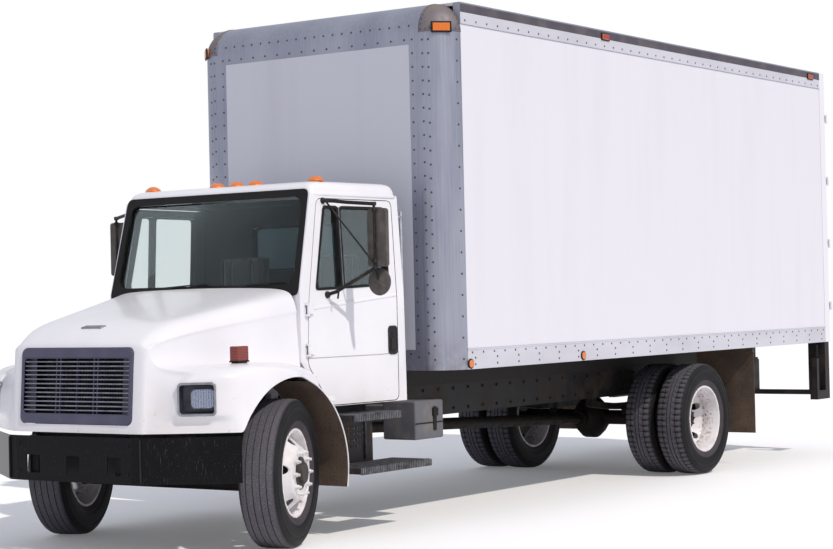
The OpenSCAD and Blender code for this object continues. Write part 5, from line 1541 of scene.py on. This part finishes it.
def rod(form, points, radius, sides=12):
    """A round bar along a chain of points."""
    rings = []
    for i, point in enumerate(points):
        here = Vector(point)
        way = Vector(points[min(i + 1, len(points) - 1)]) - Vector(points[max(i - 1, 0)])
        rings.append(round_ring(form, Matrix.Translation(here) @ turn_to(way), radius, 0, sides))
    skin(form, rings)
    form.faces.new(rings[0][::-1])
    form.faces.new(rings[-1])


for side, name in NAMED_SIDES:
    body = "cab_door_" + name
    y0 = FRONT_Y + 0.784
    rod_x = side * 1.235
    form = bmesh.new()
    rod(form, [(rod_x, y0, 1.862), (rod_x, y0, 2.345)], 0.0095)
    top_root = (side * (side_x(0.652, 2.368) - 0.004), FRONT_Y + 0.652, 2.366)
    rod(form,
        [top_root, (side * 0.965, FRONT_Y + 0.668, 2.362), (side * 1.05, FRONT_Y + 0.70, 2.350),
         (rod_x, y0, 2.332)], 0.013)
    rod(form, [(side * (side_x(0.66, 2.30) + 0.02), FRONT_Y + 0.668, 2.352), (rod_x, y0 + 0.003, 1.905)],
        0.007)
    low_root = (side * (side_x(0.640, 1.706) - 0.004), FRONT_Y + 0.640, 1.702)
    rod(form, [low_root, (side * 0.985, FRONT_Y + 0.655, 1.720), (rod_x, y0, 1.882)], 0.013)
    rod(form, [(rod_x, y0 + 0.004, 1.905), (rod_x, y0 + 0.030, 1.795)], 0.008)
    for spot, r, length in ((top_root, 0.024, 0.020), (low_root, 0.026, 0.026)):
        studs(form, [(Vector(spot), (side, 0, 0))], r, length, 16)
    clamps = [(Vector((rod_x, y0, z - 0.012)), (0, 0, 1)) for z in (1.884, 1.930, 2.290, 2.332)]
    studs(form, clamps, 0.018, 0.026, 12, dome=False)
    rod(form, [(side * 1.00, FRONT_Y + 0.665, 1.722), (side * 0.995, FRONT_Y + 0.660, 1.672)], 0.007)
    place("mirror_arms_" + name, form, black_rod, body, ("mirror_" + name,), smooth=40)
    form = bmesh.new()
    front = y0 + 0.012
    head_at = Matrix.Translation((rod_x + side * 0.004, front, 2.095))
    round_z = 1.785    # middle of the round mirror
    rounded_box(form, (-0.078, 0.0, -0.205), (0.090, 0.036, 0.205), 0.022, head_at)
    place("mirror_head_" + name, form, mirror_shell, body, smooth=30, edge_mm=7)
    form = bmesh.new()
    rounded_box(form, (-0.070, 0.036, -0.196), (0.082, 0.0385, 0.196), 0.018, head_at)
    turned(form, [(0.0385, 0.0), (0.0385, 0.088), (0.036, 0.090)], 48, "Y", (rod_x, front + 0.004, round_z))
    place("mirror_glass_" + name, form, mirror_glass, body)
    form = bmesh.new()
    turned(form,
           [(0.016, 0.0), (0.018, 0.045), (0.024, 0.078), (0.032, 0.094), (0.038, 0.0975), (0.0425, 0.096),
                  (0.0425, 0.090)], 48, "Y", (rod_x, front, round_z))
    for k in range(3):
        a = math.radians(90 + 120 * k)
        spoke = [(rod_x + r * math.cos(a), front + depth, round_z + r * math.sin(a))
                 for r, depth in ((0.0, 0.013), (0.05, 0.018), (0.088, 0.030))]
        rod(form, spoke, 0.005)
    place("round_mirror_" + name, form, mirror_shell, body, smooth=40)

# ---------------------------------------------------------------- Grab handles
# Bright chrome tubes behind each door, on two short feet.
# They are bolted to the cab's back panel.

chrome_tube = two_tone("bright_chrome_tube", "#d9dbe0", "#b1b0b4", 50, (0.5, 0.8), 0.16, 1.0)
dress("grab_handles", chrome_tube, 2)

# ---------------------------------------------------------------- Dashboard and steering wheel
# Moulded dark grey plastic with a grained skin, an instrument hood, and a thin-rimmed wheel.
# The wheel's column comes out of the dashboard on the left.

dash_plastic = weathered("grained_dark_plastic", "#131618", "#222628", 200, 0.3, 0.6, grain_mm=1.2,
                         grain_depth=0.2)
dress("dashboard", dash_plastic, 18)
dress("steering_wheel", dash_plastic)
form = bmesh.new()
low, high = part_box("dashboard")
rounded_box(form, (0.24, high.y - 0.14, 1.585), (0.62, high.y - 0.012, 1.735), 0.05)
rounded_box(form, (-0.16, high.y - 0.10, 1.42), (0.14, high.y + 0.006, 1.60), 0.02)
place("instrument_hood", form, dash_plastic, smooth=40, edge_mm=10)

# ---------------------------------------------------------------- Seats
# Foam cushions and backs under a woven dark grey cover, with piped edges and two sewn channels.
# Each pad swells under its cover and is flat only where it rests.

made, tree = new_tree("woven_seat_cloth")
where = add(tree, "ShaderNodeTexCoord").outputs["Object"]
threads = [add(tree, "ShaderNodeTexWave", {"Vector": where, "Scale": 1000 / (3.0 * 6.3)},
               bands_direction=way).outputs[1]
           for way in ("X", "Z")]
weave = add(tree, "ShaderNodeMath", {0: threads[0], 1: threads[1]}, operation="MULTIPLY").outputs[0]
worn = blotches(tree, 140, 0.4, 0.8)
shade(tree,
      {"Base Color": blend(tree, weave, blend(tree, worn, "#2c2d33", "#3a3a40"), "#4a4a52"),
       "Roughness": 0.92,
             "Sheen Weight": 0.3, "Normal": relief(tree, weave, 0.6)})
seat_cloth = made
PAD_VOXEL = 0.007    # spacing of the cover's points
PAD_CAP = 0.014    # how far the cover may swell
COVER_STEPS = 20
CHANNEL_HALF, CHANNEL_DEPTH = 0.014, 0.009    # half width and depth of a sewn channel


def pad_mesh(size, channels):
    """A stuffed pad on its own base at z 0, size long, with sewn channels across it at the given shares."""
    form = bmesh.new()
    margin = 0.012    # room for the swelling
    half_x, half_y = size[0] / 2 - margin, size[1] / 2 - margin
    rounded_box(form, (-half_x, -half_y, 0), (half_x, half_y, size[2] - margin), 0.035)
    bmesh.ops.recalc_face_normals(form, faces=form.faces)
    mesh = bpy.data.meshes.new("pad")
    form.to_mesh(mesh)
    form.free()
    pad = stand("pad", mesh)
    remesh = pad.modifiers.new("voxels", "REMESH")
    remesh.mode = "VOXEL"
    remesh.voxel_size = PAD_VOXEL
    bpy.context.view_layer.update()
    pad.data = baked(pad)
    pad.modifiers.clear()
    rest = [v.co.copy() for v in pad.data.vertices]
    swollen = rest
    cloth = pad.modifiers.new("cover", "CLOTH")
    cloth.settings.use_pressure = True
    cloth.settings.uniform_pressure_force = 4
    cloth.settings.quality = 4
    cloth.settings.effector_weights.gravity = 0
    for step in range(1, COVER_STEPS + 1):
        bpy.context.scene.frame_set(step)
    swollen = [v.co.copy() for v in baked(pad).vertices]
    pad.modifiers.clear()
    bpy.context.scene.frame_set(1)
    result = pad.data
    for v, start, end in zip(result.vertices, rest, swollen):
        step = end - start
        if step.length > PAD_CAP:
            step *= PAD_CAP / step.length
        spot = start + step
        top = spot.z / size[2]
        for share in channels:
            gap = abs(spot.x - share * size[0]) / CHANNEL_HALF
            if gap < 1 and top > 0.5:
                spot.z -= CHANNEL_DEPTH * (1 - gap * gap) ** 2
        spot.z = max(spot.z, 0.0)
        spot.x = max(-size[0] / 2, min(size[0] / 2, spot.x))
        spot.y = max(-size[1] / 2, min(size[1] / 2, spot.y))
        v.co = spot
    bpy.data.objects.remove(pad)
    result.polygons.foreach_set("use_smooth", [True] * len(result.polygons))
    return result


SEAT_X, RISER_Z = 0.430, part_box("seats")[0].z
cushion_mesh = pad_mesh((0.470, 0.470, 0.128), (-0.22, 0.22))
back_mesh = pad_mesh((0.450, 0.630, 0.122), (-0.22, 0.22))
cushion_at = Matrix.Translation((0, FRONT_Y + 1.095, RISER_Z + 0.001))
back_at = Matrix.Translation((0, FRONT_Y + 1.429, RISER_Z + 0.130 + 0.322)) @ Matrix.Rotation(math.pi / 2,
                                                                                              4, "X")
for side, name in NAMED_SIDES:
    for part, mesh, at in (("cushion", cushion_mesh, cushion_at), ("back", back_mesh, back_at)):
        pad = stand("seat_" + part + "_" + name, mesh.copy())
        pad.data.materials.clear()
        pad.data.materials.append(seat_cloth)
        pad.matrix_world = Matrix.Translation((side * SEAT_X, 0, 0)) @ at
        finer = pad.modifiers.new("finer", "SUBSURF")
        finer.levels = finer.render_levels = 1
        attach(pad, "truck")
        if side > 0 and part == "cushion":
            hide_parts("seats")
    form = bmesh.new()
    for half, at, height, length in ((0.219, cushion_at, 0.118, 0.219), (0.209, back_at, 0.112, 0.298)):
        loop = outline_of([(-half, -length), (half, -length), (half, length), (-half, length)], 0.045)
        loop.append(loop[0])
        rod(form,
            [Matrix.Translation((side * SEAT_X, 0, 0)) @ at @ Vector((*point, height)) for point in loop],
            0.004, 8)
    place("seat_piping_" + name, form, seat_cloth, smooth=60)

# ---------------------------------------------------------------- Light, floor and camera
# Bright overcast sky with a low sun from the left of the truck, on a white floor.
# The camera sees a white sky, directly or through glass, and gloss shows it a little dimmer.

world = bpy.data.worlds.new("sky")
bpy.context.scene.world = world
world.use_nodes = True
tree = world.node_tree
tree.nodes.clear()
ray = add(tree, "ShaderNodeLightPath")
seen = calc(tree, "MAXIMUM", ray.outputs["Is Camera Ray"], ray.outputs["Is Transmission Ray"])
ambient = add(tree, "ShaderNodeBackground", {0: linear("#e6eaf6"), 1: 0.60})
sky_in_gloss = add(tree, "ShaderNodeBackground", {0: linear("#e9edf6"), 1: 0.80})
white = add(tree, "ShaderNodeBackground", {0: (1, 1, 1, 1), 1: 1.0})
indirect = add(tree, "ShaderNodeMixShader", {
    0: ray.outputs["Is Glossy Ray"], 1: ambient.outputs[0], 2: sky_in_gloss.outputs[0]})
mixed = add(tree, "ShaderNodeMixShader", {0: seen, 1: indirect.outputs[0], 2: white.outputs[0]})
add(tree, "ShaderNodeOutputWorld", {0: mixed.outputs[0]})

sun_data = bpy.data.lights.new("sun", "SUN")
sun_data.energy = 2.36
sun_data.angle = math.radians(1.0)
sun_data.color = linear("#fff8ee")[:3]
sun = stand("sun", sun_data)
sun.rotation_mode = "QUATERNION"
sun.rotation_quaternion = Vector((0.66, -0.15, 0.74)).to_track_quat("Z", "Y")

made, tree = new_tree("white_floor")
ray = add(tree, "ShaderNodeLightPath")
seen = calc(tree, "MAXIMUM", ray.outputs["Is Camera Ray"], ray.outputs["Is Transmission Ray"])
seen = calc(tree, "MAXIMUM", seen, ray.outputs["Is Glossy Ray"])
shade(tree, {"Base Color": linear("#f4f4f6"), "Roughness": 0.9, "Emission Color": (1, 1, 1, 1),
             "Emission Strength": calc(tree, "MULTIPLY", seen, 0.12)})
form = bmesh.new()
bmesh.ops.create_grid(form, x_segments=1, y_segments=1, size=60)
floor_mesh = bpy.data.meshes.new("floor")
form.to_mesh(floor_mesh)
form.free()
floor_mesh.materials.append(made)
floor = stand("floor", floor_mesh)

camera_data = bpy.data.cameras.new("camera")
camera_data.lens = 84.93
camera_data.sensor_width = 36
camera = stand("camera", camera_data)
yaw, pitch, roll = -0.6112, 0.0123, -0.0230
forward = Vector((math.sin(yaw) * math.cos(pitch), math.cos(yaw) * math.cos(pitch), math.sin(pitch)))
level = Vector((math.cos(yaw), -math.sin(yaw), 0))
upright = level.cross(forward)
right = level * math.cos(roll) + upright * math.sin(roll)
up = upright * math.cos(roll) - level * math.sin(roll)
turn = Matrix((right, up, -forward)).transposed().to_4x4()
camera.matrix_world = Matrix.Translation((9.3748, -14.2201, 1.6597)) @ turn
bpy.context.scene.camera = camera

scene = bpy.context.scene
scene.view_settings.view_transform = "Standard"
scene.view_settings.look = "None"
